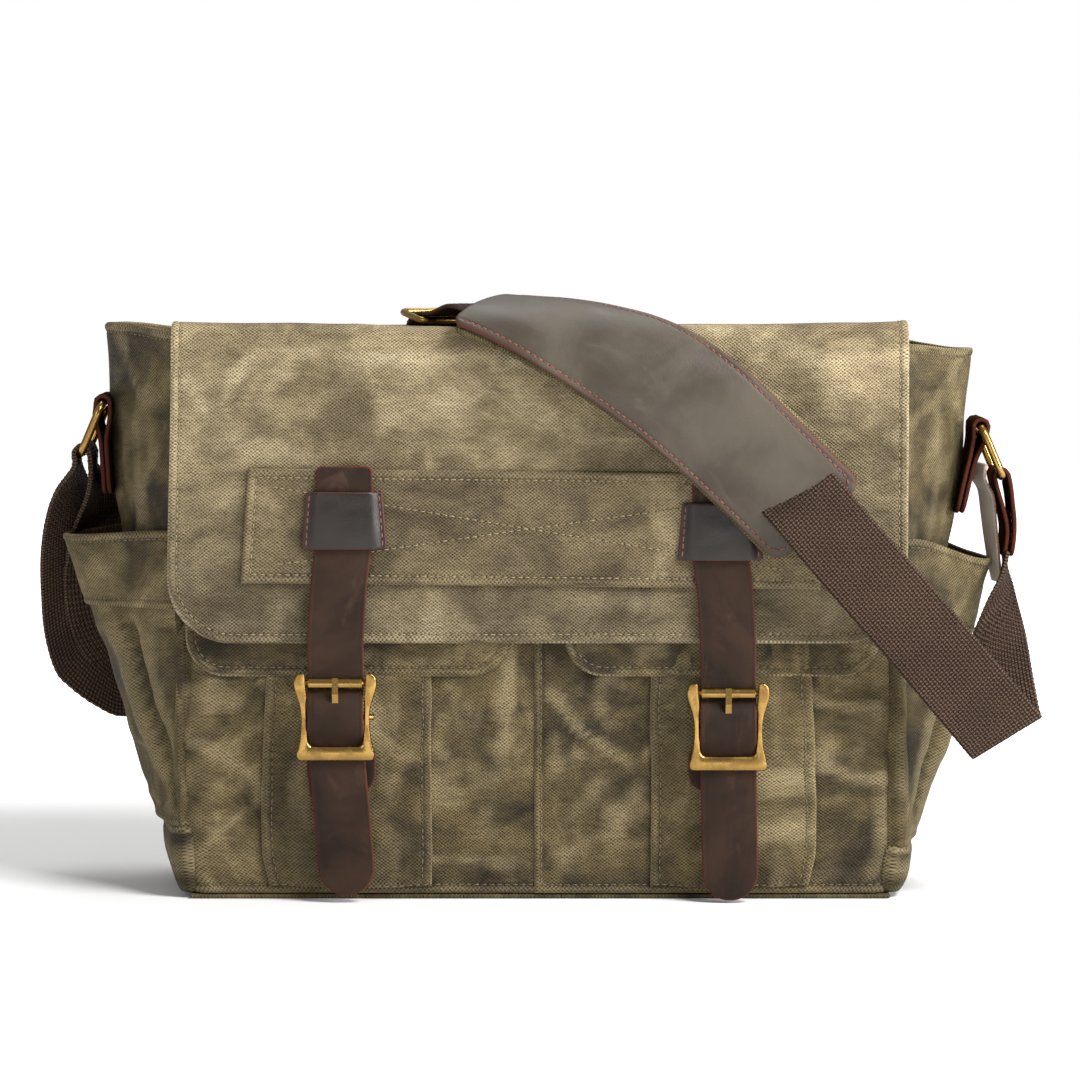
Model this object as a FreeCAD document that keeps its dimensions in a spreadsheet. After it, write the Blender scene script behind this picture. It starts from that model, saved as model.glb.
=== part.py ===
import FreeCAD, Part
import math
import os
import re
import Sketcher
from FreeCAD import Placement, Rotation, Vector

# A waxed-canvas messenger bag that stands on a flat surface.
# The origin is at the centre of the base, on the surface. +X is to the viewer's right, +Y goes to the back.

# ---------------------------------------------------------------- driving dimensions, in millimetres
DIMS = {
    # cloth, leather and webbing thicknesses, the usual gap between two layers, the gaps under the band and
    # under the leather sewn to it, and the room left round loose parts and past the ends of a cut
    "cloth": 2.5, "layer_gap": 0.3, "leather": 2.2, "webbing": 2.2, "webbing_wide": 38, "band_gap": 0.2,
    "sewn_gap": 0.1, "spare": 1,
    # body: half widths at the base and at the top, the two faces' places in depth, and the heights
    "base_half": 175, "top_half": 181, "back_base_half": 178, "back_top_half": 184,
    "back_inside": 57, "front_inside": 57.5, "crease_base": 178, "crease_boot": 195, "crease_top": 217,
    "boot_high": 36, "boot_half": 177, "boot_back_half": 180, "body_high": 287, "front_high": 280,
    "front_wall": 42.5, "front_wall_base": 172.4, "front_wall_top": 181.5,
    # inside: the stiff board, the lining and the padded sleeve
    "board": 2, "lining_gap": 0.6, "lining": 0.8, "lining_high": 272,
    "sleeve_near": 34, "sleeve_far": 40, "sleeve_half": 160, "sleeve_high": 235,
    # front pockets, with their pleats and flaps
    "pocket_high": 166, "pleat_low": 4, "pleat_high": 160, "pleat": 1.5, "divider_half": 2,
    "pleat_left_from": 134, "pleat_left_to": 54, "pleat_right_from": 55, "pleat_right_to": 133,
    "lid_hinge_back": 47.5, "lid_hinge_high": 172.5, "lid_face": 65.8, "lid_low": 112, "lid_round": 20,
    "lid_seam_drop": 0.2, "lid_slope": 0.8, "lid_turn_out": 3, "lid_turn_in": 4, "lid_turn_drop": 1,
    "lid_left_from": 176, "lid_left_to": 15, "lid_right_from": 12, "lid_right_to": 169,
    # side pockets: bottom and rim of the bellows, and the band along the rim
    "side_low": 37.5, "side_seam": 146, "side_rim": 184, "side_base_out": 198.7,
    "side_rim_left_out": 240, "side_rim_right_out": 229,
    "side_flat_front": 10, "side_flat_back": 14, "side_front_end": 57.2, "side_cloth": 2.2,
    "side_front_base": 179.8, "side_front_rim": 182.2, "side_back_base": 182.7, "side_back_rim": 185.4,
    "band_cloth": 3,
    # main flap: its top, its front and the band sewn across the front
    "flap_half": 182, "flap_left": 185, "flap_thick": 3, "flap_under": 288.5, "flap_top_front": 66,
    "flap_top_back": 61, "flap_face": 71.3, "flap_low": 133, "flap_front_high": 287.5, "flap_round": 25,
    "band_left": 148, "band_right": 139, "band_low": 159, "band_high": 216, "band_face": 73.1,
    "seam_strip_far": 62.5, "seam_strip_low": 262, "seam_strip_high": 286,
    # the two leather straps that close the flap
    "strap_half": 14.5, "strap_left_at": 101, "strap_right_at": 93, "keeper_left_at": 96.5,
    "keeper_right_at": 89, "anchor_high": 217, "keeper_left_low": 176, "keeper_right_low": 170.5,
    "keeper_tall": 28.5, "keeper_half": 19.5, "keeper_foot": 4, "strap_plane": 74.4,
    "keeper_step": 2, "keeper_play": 0.4, "tip_left": 5, "tip_right": 4, "tip_round": 14,
    # how the strap runs past its buckle: heights from the roller's axis, and how far it comes forward
    "tuck_from": 22, "tuck_to": 6, "tuck": 0.4, "climb_from": 3, "climb_to": 15, "climb": 6.1,
    "over_bar_to": 20, "behind_bar_from": 29.5, "behind_bar": 0.6, "tail_under": 3, "tail_over": 12,
    "slot_half": 2.4, "slot_low": 21.5, "slot_high": 6, "slot_front": 9, "slot_back": 3,
    # buckles: the roller's height on each side, then sizes measured from the roller's axis
    "roller_left": 110, "roller_right": 105, "roller_plane": 78.3, "roller_bore": 1.75, "roller_out": 2.9,
    "roller_half": 13.2, "frame_front": 81, "frame_back": 76.4, "frame_half": 20.4, "frame_inner": 15.5,
    "frame_waist_round": 80, "frame_waist_from": 3, "lug_up": 4, "lug_round": 3, "lug_corner": 2,
    "bar_in": 31, "bar_out": 37.5, "bar_joint": 1, "pin": 1.6, "bar_drop": 17,
    "bar_plane": 76, "bar_round": 1.5, "bar_half": 19.2, "prong_half": 1.5, "prong_ring_in": 1.8,
    "prong_ring_out": 3.3, "prong_root_back": 2, "prong_root_up": 2.2, "prong_knee_back": 1,
    "prong_knee_up": 3, "prong_inner": 3.2, "prong_outer": 4.8, "prong_bend": 5.4, "prong_bend_in": 4,
    "prong_bend_out": 5, "prong_end": 3, "prong_heel": 3.1, "prong_heel_up": 1,
    "chape_loop_in": 1.8, "chape_loop_out": 3.1,
    "chape_front": 73.6, "chape_back": 71, "chape_half": 14.2, "chape_low": 51, "chape_gap_half": 2.6,
    "chape_gap_tall": 5,
    "snap_drop": 44, "snap_out": 7, "snap_face": 67.5, "snap_socket_face": 67.3,
    # rings on the sides, their leather chapes and the leather tab of the shoulder strap
    "ring_wire": 2, "ring_half": 21, "ring_drop": 27.5, "ring_round": 6, "ring_tilt": 23,
    "ring_left_out": 221, "ring_left_high": 246, "ring_right_out": 223, "ring_right_high": 234,
    "side_chape_half": 18, "side_chape_low": 191, "side_chape_in": 209, "side_chape_out": 214.2,
    "loop_in": 5, "loop_out": 7.2, "neck_out": 4, "neck_out_drop": 3, "neck_in": 4.5, "neck_in_rise": 1,
    "tab_out": 240.5, "tab_low": 168, "tab_narrower": 2, "tab_layers_gap": 0.4, "tab_neck_out": 6,
    "tab_neck_out_drop": 3, "tab_neck_in": 2, "tab_neck_in_drop": 5.5,
    # shoulder pad and the slide on the webbing
    "pad_wide": 60, "pad_leather": 2.6, "pad_under": 2.8, "pad_under_narrower": 4,
    "pad_gap": 0.4, "webbing_gap": 0.5, "slide_half": 22, "slide_long": 28,
    "slide_wire": 1.7, "slide_left": 55, "slide_back": 21, "slide_high": 296, "slide_turn": -63.4,
    "slide_corner": 4,
}

# Places along the shoulder strap, chosen by hand: a point on its middle line and the way its face looks.
PAD_ROUTE = [
    ((140, -84, 194), (0, -1, 0)), ((100, -87, 232), (0, -1, 0.05)), ((60, -88, 266), (0, -1, 0.3)),
    ((28, -82, 290), (0, -0.75, 0.7)), ((5, -62, 303), (0, -0.3, 1)), ((-12, -38, 304.5), (0, 0, 1)),
    ((-30, -14, 302.5), (0, 0.1, 1)), ((-48, 8, 299.5), (0, 0.1, 1)),
]
FRONT_ROUTE = [
    ((122, -92, 208), (0, -1, 0)), ((160, -90.5, 164), (0, -1, 0)), ((197, -84, 121), (0, -1, 0)),
    ((229, -77, 85), (0, -1, 0)),
]
RIGHT_ROUTE = [
    ((240.6, 0, 160), (1, 0, 0)), ((238, -6, 146), (1, -0.25, 0)), ((232, -22, 127), (0.9, -0.7, 0)),
    ((228, -46, 106), (0.4, -1, 0)), ((228, -67, 87), (0, -1, 0)),
]
TOP_ROUTE = [
    ((-50, 12, 293.2), (0, 0, 1)), ((-58, 30, 292.9), (0, 0, 1)), ((-68, 48, 292.9), (0, 0, 1)),
]
BACK_ROUTE = [
    ((-76, 66, 291.5), (0, 0.4, 1)), ((-80, 71, 282), (0, 1, 0.2)), ((-126, 71, 224), (0, 1, 0)),
    ((-172, 71, 166), (0, 1, 0)), ((-208, 71, 121), (0, 1, 0)),
]
LEFT_ROUTE = [
    ((-216, 84, 106), (0, 1, 0)), ((-235, 70, 108), (-0.5, 0.85, 0)), ((-240, 38, 138), (-0.8, 0.6, 0)),
    ((-244, 12, 176), (-1, 0.2, 0)), ((-236.5, 0, 212), (-1, 0, 0)),
]

PLANES = {"XY": "XY_Plane", "XZ": "XZ_Plane", "YZ": "YZ_Plane"}
SIDES = {"left": -1, "right": 1}

doc = FreeCAD.newDocument("MessengerBag")
sheet = doc.addObject("Spreadsheet::Sheet", "dims")
for row, (alias, number) in enumerate(DIMS.items(), start=1):
    sheet.set("A%d" % row, alias)
    sheet.set("B%d" % row, str(number))
    sheet.setAlias("B%d" % row, alias)
doc.recompute()

parts = []


# ---------------------------------------------------------------- helpers
def bound(text):
    """An expression in which every alias is read from the sheet."""
    return re.sub(r"[a-z_]+", lambda word: "dims." + word[0] if word[0] in DIMS else word[0], str(text))


def value(text):
    """What an expression comes to."""
    return float(sheet.evalExpression(bound(text)))


def keep(part, name):
    """Name a finished sub-part and put it on the list that is written out."""
    part.Label = name
    parts.append(part)
    return part


def mirrored(outline, side):
    """An outline on the given side of the bag, from its distances to the middle."""
    sign = SIDES[side]
    return [("%d * (%s)" % (sign, point[0]),) + tuple(point[1:]) for point in outline]


def arc_edge(start, end, radius):
    """An arc between two corners. It turns left for a radius above zero, and right below zero."""
    middle = (start + end) * 0.5
    chord = end - start
    height = math.sqrt(max(radius * radius - chord.Length ** 2 / 4, 0))
    left = Vector(-chord.y, chord.x, 0).normalize()
    center = middle + left * (height if radius > 0 else -height)
    first, last = (start, end) if radius > 0 else (end, start)
    angles = [math.atan2(p.y - center.y, p.x - center.x) for p in (first, last)]
    return Part.ArcOfCircle(Part.Circle(center, Vector(0, 0, 1), abs(radius)), *angles)


def bind(sketch, constraint, text):
    """Add a constraint whose size is an expression."""
    sketch.setExpression("Constraints[%d]" % sketch.addConstraint(constraint), bound(text))


def draw_disc(sketch, disc):
    """Draw a circle from the place of its centre and its radius."""
    across, up, radius = disc
    sketch.addGeometry(Part.Circle(Vector(value(across), value(up), 0), Vector(0, 0, 1), value(radius)))
    bind(sketch, Sketcher.Constraint("DistanceX", -1, 1, 0, 3, value(across)), across)
    bind(sketch, Sketcher.Constraint("DistanceY", -1, 1, 0, 3, value(up)), up)
    bind(sketch, Sketcher.Constraint("Radius", 0, value(radius)), radius)


def draw_outline(sketch, outline):
    """Draw a closed outline. A corner is (across, up), or (across, up, radius) before an arc."""
    corners = [Vector(value(point[0]), value(point[1]), 0) for point in outline]
    ends = []
    for index, point in enumerate(outline):
        start, end = corners[index], corners[(index + 1) % len(corners)]
        if len(point) == 3:
            radius = value(point[2])
            sketch.addGeometry(arc_edge(start, end, radius))
            ends.append((1, 2) if radius > 0 else (2, 1))
        else:
            sketch.addGeometry(Part.LineSegment(start, end))
            ends.append((1, 2))
    for index, point in enumerate(outline):
        following = (index + 1) % len(outline)
        sketch.addConstraint(Sketcher.Constraint("Coincident", index, ends[index][1], following,
                                                 ends[following][0]))
        first = ends[index][0]
        bind(sketch, Sketcher.Constraint("DistanceX", -1, 1, index, first, value(point[0])), point[0])
        bind(sketch, Sketcher.Constraint("DistanceY", -1, 1, index, first, value(point[1])), point[1])
        if len(point) == 3:
            bind(sketch, Sketcher.Constraint("Radius", index, abs(value(point[2]))), "abs(%s)" % point[2])


def add_sketch(body, plane, outline, offset):
    """A disc or an outline on one of the body's own planes, bound to the sheet."""
    sketch = body.newObject("Sketcher::SketchObject", body.Name + "_outline")
    support = [item for item in body.Origin.OriginFeatures if item.Role == PLANES[plane]][0]
    sketch.AttachmentSupport = [(support, "")]
    sketch.MapMode = "FlatFace"
    sketch.setExpression("AttachmentOffset.Base.z", bound(offset))
    if isinstance(outline, tuple):
        draw_disc(sketch, outline)
    else:
        draw_outline(sketch, outline)
    return sketch


def new_body(name):
    """An empty body with its own name."""
    return keep(doc.addObject("PartDesign::Body", name), name)


def pad_outline(body, plane, outline, start, end, feature="PartDesign::Pad"):
    """Add an outline between two places along the axis that is square to its plane, or cut it away."""
    offset = "-(%s)" % end if plane == "XZ" else start
    sketch = add_sketch(body, plane, outline, offset)
    solid = body.newObject(feature, body.Name + "_step")
    solid.Profile = sketch
    if feature == "PartDesign::Pocket":
        solid.Reversed = True
    solid.setExpression("Length", bound("(%s) - (%s)" % (end, start)))
    return solid


def prism(name, plane, outline, start, end):
    """A body of one outline with straight walls."""
    body = new_body(name)
    pad_outline(body, plane, outline, start, end)
    return body


def cut_outline(body, plane, outline, start, end):
    """Cut an outline out of a body, and make sure that it cuts."""
    doc.recompute()
    before = body.Shape.Volume
    pad_outline(body, plane, outline, start, end, "PartDesign::Pocket")
    doc.recompute()
    if body.Shape.Volume > before * 0.9999:
        raise RuntimeError(body.Label + " is not cut")


def loft(name, lower, low, upper, high):
    """A body between a lower and an upper outline with the same corners."""
    body = new_body(name)
    first = add_sketch(body, "XY", lower, low)
    last = add_sketch(body, "XY", upper, high)
    solid = body.newObject("PartDesign::AdditiveLoft", name + "_loft")
    solid.Profile = first
    solid.Sections = [last]
    solid.Ruled = True
    return body


def box_outline(left, low, right, high):
    """The four corners of a rectangle."""
    return [(left, low), (right, low), (right, high), (left, high)]


def strip(outer, thick):
    """A bent strip of cloth in plan, from the corners of its outer face."""
    inner = [("(%s) - (%s)" % (x, thick), y) for x, y in reversed(outer)]
    return outer + inner


def ribbon(name, route, width, thick):
    """A flat strip of even width and thickness through the sections of a route."""
    points = [Vector(*place) for place, face in route]
    sections = []
    for index, (place, face) in enumerate(route):
        ahead = points[min(index + 1, len(points) - 1)] - points[max(index - 1, 0)]
        across = ahead.cross(Vector(*face)).normalize()
        out = across.cross(ahead).normalize()
        half, lift = across * (width / 2), out * (thick / 2)
        signs = ((1, 1), (-1, 1), (-1, -1), (1, -1))
        corners = [points[index] + half * a + lift * b for a, b in signs]
        sections.append(Part.makePolygon(corners + corners[:1]))
    part = doc.addObject("Part::Feature", name)
    part.Shape = Part.makeLoft(sections, True, True)
    part.Placement = Placement()
    return keep(part, name)


def shifted(route, distance):
    """A route moved along the way that its face looks."""
    return [(tuple(Vector(*place) + Vector(*face).normalize() * distance), face) for place, face in route]


# ---------------------------------------------------------------- body of the bag
def body_panels():
    """The back, the wall behind the front pockets, the base, and the pocket fronts with their pleats."""
    gap_over_base = "cloth + layer_gap"
    prism("back_panel", "XZ", [
        ("-back_base_half", gap_over_base), ("back_base_half", gap_over_base),
        ("back_top_half", "body_high"), ("-back_top_half", "body_high"),
    ], "back_inside", "back_inside + cloth")
    prism("front_panel", "XZ", [
        ("-front_wall_base", gap_over_base), ("front_wall_base", gap_over_base),
        ("front_wall_top", "front_high"), ("-front_wall_top", "front_high"),
    ], "-front_wall - cloth", "-front_wall")
    prism("bottom_panel", "XY", box_outline("-base_half", "-front_inside - cloth", "base_half",
                                            "back_inside + cloth"), 0, "cloth")
    for side in SIDES:
        prism("front_pocket_panel_" + side, "XZ", mirrored([
            ("layer_gap", gap_over_base), ("base_half", gap_over_base),
            ("base_half + (top_half - base_half) * pocket_high / body_high", "pocket_high"),
            ("layer_gap", "pocket_high"),
        ], side), "-front_inside - cloth", "-front_inside")
        prism("pocket_pleat_" + side, "XZ", mirrored(box_outline(
            "pleat_%s_from" % side, "pleat_low", "pleat_%s_to" % side, "pleat_high"), side),
            "-front_inside - cloth - layer_gap - pleat", "-front_inside - cloth - layer_gap")
    prism("pocket_divider", "XY", box_outline("-divider_half", "-front_inside + layer_gap", "divider_half",
                                              "-front_wall - cloth - layer_gap"), gap_over_base, "pocket_high")


def sides():
    """The folded side walls, the boots round their lower ends, and the bellows pockets with their bands."""
    for side in SIDES:
        base = [("base_half", "-front_inside"), ("crease_base", 0), ("back_base_half", "back_inside")]
        boot = [("boot_half", "-front_inside"), ("crease_boot", 0), ("boot_back_half", "back_inside")]
        top = [("top_half", "-front_inside"), ("crease_top", 0), ("back_top_half", "back_inside")]
        loft("boot_" + side, mirrored(strip(base, "cloth"), side), "cloth + layer_gap",
             mirrored(strip(boot, "cloth"), side), "boot_high")
        loft("gusset_" + side, mirrored(strip(boot, "cloth"), side), "boot_high + layer_gap",
             mirrored(strip(top, "cloth"), side), "body_high")
        share = "(side_seam - side_low) / (side_rim - side_low)"
        rim_out = "side_rim_%s_out" % side
        seam_out = "(side_base_out + (%s - side_base_out) * %s)" % (rim_out, share)
        seam_front = "(side_front_base + (side_front_rim - side_front_base) * %s)" % share
        seam_back = "(side_back_base + (side_back_rim - side_back_base) * %s)" % share
        levels = []
        for front, out, back in (("side_front_base", "side_base_out", "side_back_base"),
                                 (seam_front, seam_out, seam_back),
                                 ("side_front_rim", rim_out, "side_back_rim")):
            levels.append([(front, "-side_front_end"), (out, "-side_flat_front"),
                           (out, "side_flat_back"), (back, "back_inside")])
        loft("side_pocket_" + side, mirrored(strip(levels[0], "side_cloth"), side), "side_low",
             mirrored(strip(levels[1], "side_cloth"), side), "side_seam")
        band = []
        for level in levels[1:]:
            outer = [("%s + band_cloth - side_cloth" % x, y) for x, y in level]
            band.append(mirrored(strip(outer, "band_cloth"), side))
        loft("side_pocket_band_" + side, band[0], "side_seam + layer_gap", band[1], "side_rim")


def inside():
    """The board on the base, the lining that hangs in the body and the padded sleeve for a laptop."""
    floor = "cloth + layer_gap"
    board_half = "base_half - cloth - spare"
    prism("base_board", "XY", box_outline("-(%s)" % board_half, "-front_wall + layer_gap", board_half,
                                          "back_inside - layer_gap"), floor, floor + " + board")
    low = floor + " + board + layer_gap"
    shells = []
    for grow, lowest, name in ((0, low, "lining_outside"), ("lining", low + " + lining", "lining_inside")):
        outlines = []
        for half, crease, back in (
                ("front_wall_base - cloth", "crease_base - cloth", "back_base_half - cloth"),
                ("front_wall_top - cloth", "crease_top - 2 * cloth", "back_top_half - 2 * cloth")):
            inset = "lining_gap + %s" % grow
            halves = [("(%s) - (%s)" % (half, inset), "-front_wall + %s" % inset),
                      ("(%s) - (%s)" % (crease, inset), 0),
                      ("(%s) - (%s)" % (back, inset), "back_inside - (%s)" % inset)]
            outlines.append(halves + [("-(%s)" % x, y) for x, y in reversed(halves)])
        high = "lining_high" if grow == 0 else "lining_high + spare"
        shells.append(loft(name, outlines[0], lowest, outlines[1], high))
    parts[-2:] = []
    tub = doc.addObject("Part::Cut", "lining_tub")
    tub.Base, tub.Tool = shells
    keep(tub, "lining")
    sleeve = box_outline("-sleeve_half", low + " + lining + spare", "sleeve_half", "sleeve_high")
    prism("laptop_sleeve", "XZ", sleeve, "sleeve_near", "sleeve_far")


# ---------------------------------------------------------------- flaps
def round_corners(body, radius, where):
    """Round the edges that run along Y through the given corners in X and Z."""
    doc.recompute()
    base = body.Tip
    names = []
    for number, edge in enumerate(base.Shape.Edges, start=1):
        middle = edge.CenterOfMass
        if any(math.hypot(middle.x - value(x), middle.z - value(z)) < 0.01 for x, z in where):
            names.append("Edge%d" % number)
    if len(names) != len(where):
        raise RuntimeError(body.Label + " has other corners than expected")
    fillet = body.newObject("PartDesign::Fillet", body.Name + "_fillet")
    fillet.Base = (base, names)
    fillet.setExpression("Radius", bound(radius))


def pocket_flaps():
    """Each flap of the front pockets starts at its seam, comes forward and hangs over the pocket."""
    for side in SIDES:
        start, end = "lid_%s_from" % side, "lid_%s_to" % side
        if side == "left":
            start, end = "-" + start, "-" + end
        profile = [
            ("-lid_hinge_back", "lid_hinge_high - lid_seam_drop"),
            ("-lid_hinge_back", "lid_hinge_high + cloth - lid_seam_drop"),
            ("-lid_face + lid_turn_out", "lid_hinge_high + cloth - lid_slope"),
            ("-lid_face", "lid_hinge_high - lid_turn_drop"),
            ("-lid_face", "lid_low"), ("-lid_face + cloth", "lid_low"),
            ("-lid_face + cloth", "lid_hinge_high - 2 * lid_turn_drop"),
            ("-lid_face + lid_turn_in", "lid_hinge_high - lid_slope"),
        ]
        body = prism("pocket_flap_" + side, "YZ", profile, start, end)
        round_corners(body, "lid_round", [(start, "lid_low"), (end, "lid_low")])


def main_flap():
    """The strip that holds the flap at the back, the flap's top and front, and the band across it."""
    seam_strip = box_outline("-flap_half", "seam_strip_low", "flap_half", "seam_strip_high")
    prism("flap_seam_strip", "XZ", seam_strip, "back_inside + cloth + layer_gap", "seam_strip_far")
    prism("flap_top", "XY", box_outline("-flap_half", "-flap_top_front", "flap_half", "flap_top_back"),
          "flap_under", "flap_under + flap_thick")
    body = prism("flap_front", "XZ", [
        ("-flap_left", "flap_low"), ("flap_half", "flap_low"),
        ("flap_half", "flap_front_high"), ("-flap_half", "flap_front_high"),
    ], "-flap_face", "-flap_face + flap_thick")
    round_corners(body, "flap_round", [("-flap_left", "flap_low"), ("flap_half", "flap_low")])
    prism("flap_band", "XZ", box_outline("-band_left", "band_low", "band_right", "band_high"),
          "-band_face", "-flap_face - band_gap")


# ---------------------------------------------------------------- closing straps and buckles
def strap_center(side):
    """The middle of a closing strap across the bag."""
    return "%d * strap_%s_at" % (SIDES[side], side)


def strap_ends():
    """The end of each strap that is sewn to the band, and the loop that keeps the strap in place."""
    for side in SIDES:
        center = "%d * keeper_%s_at" % (SIDES[side], side)
        low = "keeper_%s_low" % side
        prism("strap_anchor_" + side, "XZ", box_outline(
            center + " - strap_half", low, center + " + strap_half", "anchor_high"),
            "-band_face - sewn_gap - leather", "-band_face - sewn_gap")
        foot_back, foot_front = "-band_face - sewn_gap", "-band_face - sewn_gap - leather"
        over_back, over_front = foot_front + " - layer_gap", foot_front + " - layer_gap - leather"
        half = [("keeper_half", foot_back), ("keeper_half", foot_front),
                ("keeper_half - keeper_step", foot_front),
                ("keeper_half - keeper_foot", over_front)]
        under = [("strap_half + keeper_play", foot_back), ("strap_half + keeper_play", over_back)]
        right = [(center + " + " + x, y) for x, y in reversed(under)] + [(center + " + " + x, y) for x, y in half]
        left = [(center + " - (%s)" % x, y) for x, y in reversed(half)]
        left += [(center + " - (%s)" % x, y) for x, y in under]
        prism("strap_keeper_" + side, "XY", right + left, low, low + " + keeper_tall")


def strap_profile(side):
    """The strap from the side: behind the roller, over the hidden bar and behind the frame's lower bar."""
    roller = "roller_" + side
    back = [("-strap_plane", "keeper_%s_low - spare" % side), ("-strap_plane", roller + " + tuck_from"),
            ("-strap_plane + tuck", roller + " + tuck_to"), ("-strap_plane + tuck", roller + " - climb_from"),
            ("-strap_plane - climb", roller + " - climb_to"),
            ("-strap_plane - climb", roller + " - over_bar_to"),
            ("-strap_plane - behind_bar", roller + " - behind_bar_from"),
            ("-strap_plane - behind_bar", "chape_low - tail_under"), ("-strap_plane", "chape_low - tail_over"),
            ("-strap_plane", "tip_" + side)]
    half = "leather / 2"
    return [(y + " + " + half, z) for y, z in back] + [(y + " - " + half, z) for y, z in reversed(back)]


def closing_straps():
    """The leather straps, with the slot that the prong comes through."""
    for side in SIDES:
        center = strap_center(side)
        left, right = center + " - strap_half", center + " + strap_half"
        body = prism("closure_strap_" + side, "YZ", strap_profile(side), left, right)
        round_corners(body, "tip_round", [(left, "tip_" + side), (right, "tip_" + side)])
        roller = "roller_" + side
        cut_outline(body, "XZ", box_outline(center + " - slot_half", roller + " - slot_low",
                                            center + " + slot_half", roller + " - slot_high"),
                    "-strap_plane - slot_front", "-strap_plane + slot_back")


def buckles():
    """Each buckle is a waisted frame with two bars, a turning roller and a prong."""
    for side in SIDES:
        center = strap_center(side)
        roller = "roller_" + side
        low_in, low_out = roller + " - bar_in", roller + " - bar_out"
        half = [("frame_inner", low_in), ("frame_inner", roller + " + lug_up"),
                ("frame_half - lug_corner", roller + " + lug_up", "-lug_round"),
                ("frame_half", roller + " + lug_up - lug_corner"),
                ("frame_half", roller + " - frame_waist_from", "frame_waist_round"),
                ("frame_half", low_in), ("frame_half", low_out)]
        right = [(center + " + " + point[0],) + point[1:] for point in half]
        left = [(center + " - (%s)" % point[0], point[1]) for point in reversed(half)]
        # seen from behind on the way up the left side, each arc starts at the corner that ends its right twin
        for index, point in enumerate(half):
            if len(point) == 3:
                start = len(half) - 2 - index
                left[start] = left[start] + (point[2],)
        body = new_body("buckle_frame_" + side)
        pad_outline(body, "XZ", right + left, "-frame_front", "-frame_back")
        pad_outline(body, "YZ", ("-bar_plane", roller + " - bar_drop", "bar_round"),
                    center + " - bar_half", center + " + bar_half")
        pad_outline(body, "YZ", ("-roller_plane", roller, "pin"),
                    center + " - frame_inner - bar_joint", center + " + frame_inner + bar_joint")
        body = prism("buckle_roller_" + side, "YZ", ("-roller_plane", roller, "roller_out"),
                     center + " - roller_half", center + " + roller_half")
        cut_outline(body, "YZ", ("-roller_plane", roller, "roller_bore"),
                    center + " - roller_half - spare", center + " + roller_half + spare")
        ring = ("-bar_plane", roller + " - bar_drop", "prong_ring_out")
        body = prism("buckle_prong_" + side, "YZ", ring, center + " - prong_half", center + " + prong_half")
        pad_outline(body, "YZ", [
            ("-bar_plane - prong_root_back", roller + " - bar_drop + prong_root_up"),
            ("-bar_plane - prong_knee_back", roller + " - bar_drop + prong_knee_up"),
            ("-roller_plane - prong_inner", roller + " - prong_bend_in"),
            ("-roller_plane - prong_inner", roller + " + prong_end"),
            ("-roller_plane - prong_outer", roller + " + prong_end"),
            ("-roller_plane - prong_bend", roller + " - prong_bend_out"),
            ("-bar_plane - prong_heel", roller + " - bar_drop + prong_heel_up"),
        ], center + " - prong_half", center + " + prong_half")
        cut_outline(body, "YZ", ("-bar_plane", roller + " - bar_drop", "prong_ring_in"),
                    center + " - prong_half - spare", center + " + prong_half + spare")


def chapes_and_snaps():
    """The leather that holds each buckle by its hidden bar, and the magnetic snap behind it."""
    for side in SIDES:
        center = strap_center(side)
        roller = "roller_" + side
        bar_high = roller + " - bar_drop"
        left, right = center + " - chape_half", center + " + chape_half"
        body = prism("buckle_chape_" + side, "YZ", ("-bar_plane", bar_high, "chape_loop_out"), left, right)
        pad_outline(body, "YZ", box_outline("-chape_front", "chape_low", "-chape_back", bar_high), left, right)
        cut_outline(body, "YZ", ("-bar_plane", bar_high, "chape_loop_in"), left + " - spare",
                    right + " + spare")
        cut_outline(body, "XZ", box_outline(center + " - chape_gap_half", bar_high + " - chape_gap_tall",
                                            center + " + chape_gap_half", bar_high + " + chape_gap_tall"),
                    "-bar_plane - chape_gap_tall", "-chape_back + spare")
        snap_high = "(%s - snap_drop)" % roller
        prism("snap_stud_" + side, "XZ", (center, snap_high, "snap_out"), "-chape_back", "-snap_face")
        prism("snap_socket_" + side, "XZ", (center, snap_high, "snap_out"), "-snap_socket_face",
              "-front_inside - cloth - layer_gap - pleat - sewn_gap")


# ---------------------------------------------------------------- rings and shoulder strap
def wire_loop(name, half, drop, wire, rounding):
    """A closed loop of round wire in the YZ plane, whose upper bar has its axis through the origin."""
    body = new_body(name)
    path = [
        (0, 0), ("%s - %s" % (half, rounding), 0, "-%s" % rounding), (half, "-%s" % rounding),
        (half, "%s - %s" % (rounding, drop), "-%s" % rounding), ("%s - %s" % (half, rounding), "-%s" % drop),
        ("%s - %s" % (rounding, half), "-%s" % drop, "-%s" % rounding),
        ("-%s" % half, "%s - %s" % (rounding, drop)),
        ("-%s" % half, "-%s" % rounding, "-%s" % rounding), ("%s - %s" % (rounding, half), 0),
    ]
    spine = add_sketch(body, "YZ", path, 0)
    section = add_sketch(body, "XZ", (0, 0, wire), 0)
    pipe = body.newObject("PartDesign::AdditivePipe", name + "_pipe")
    pipe.Profile = section
    pipe.Spine = (spine, ["Edge%d" % (index + 1) for index in range(len(path))])
    return body


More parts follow.
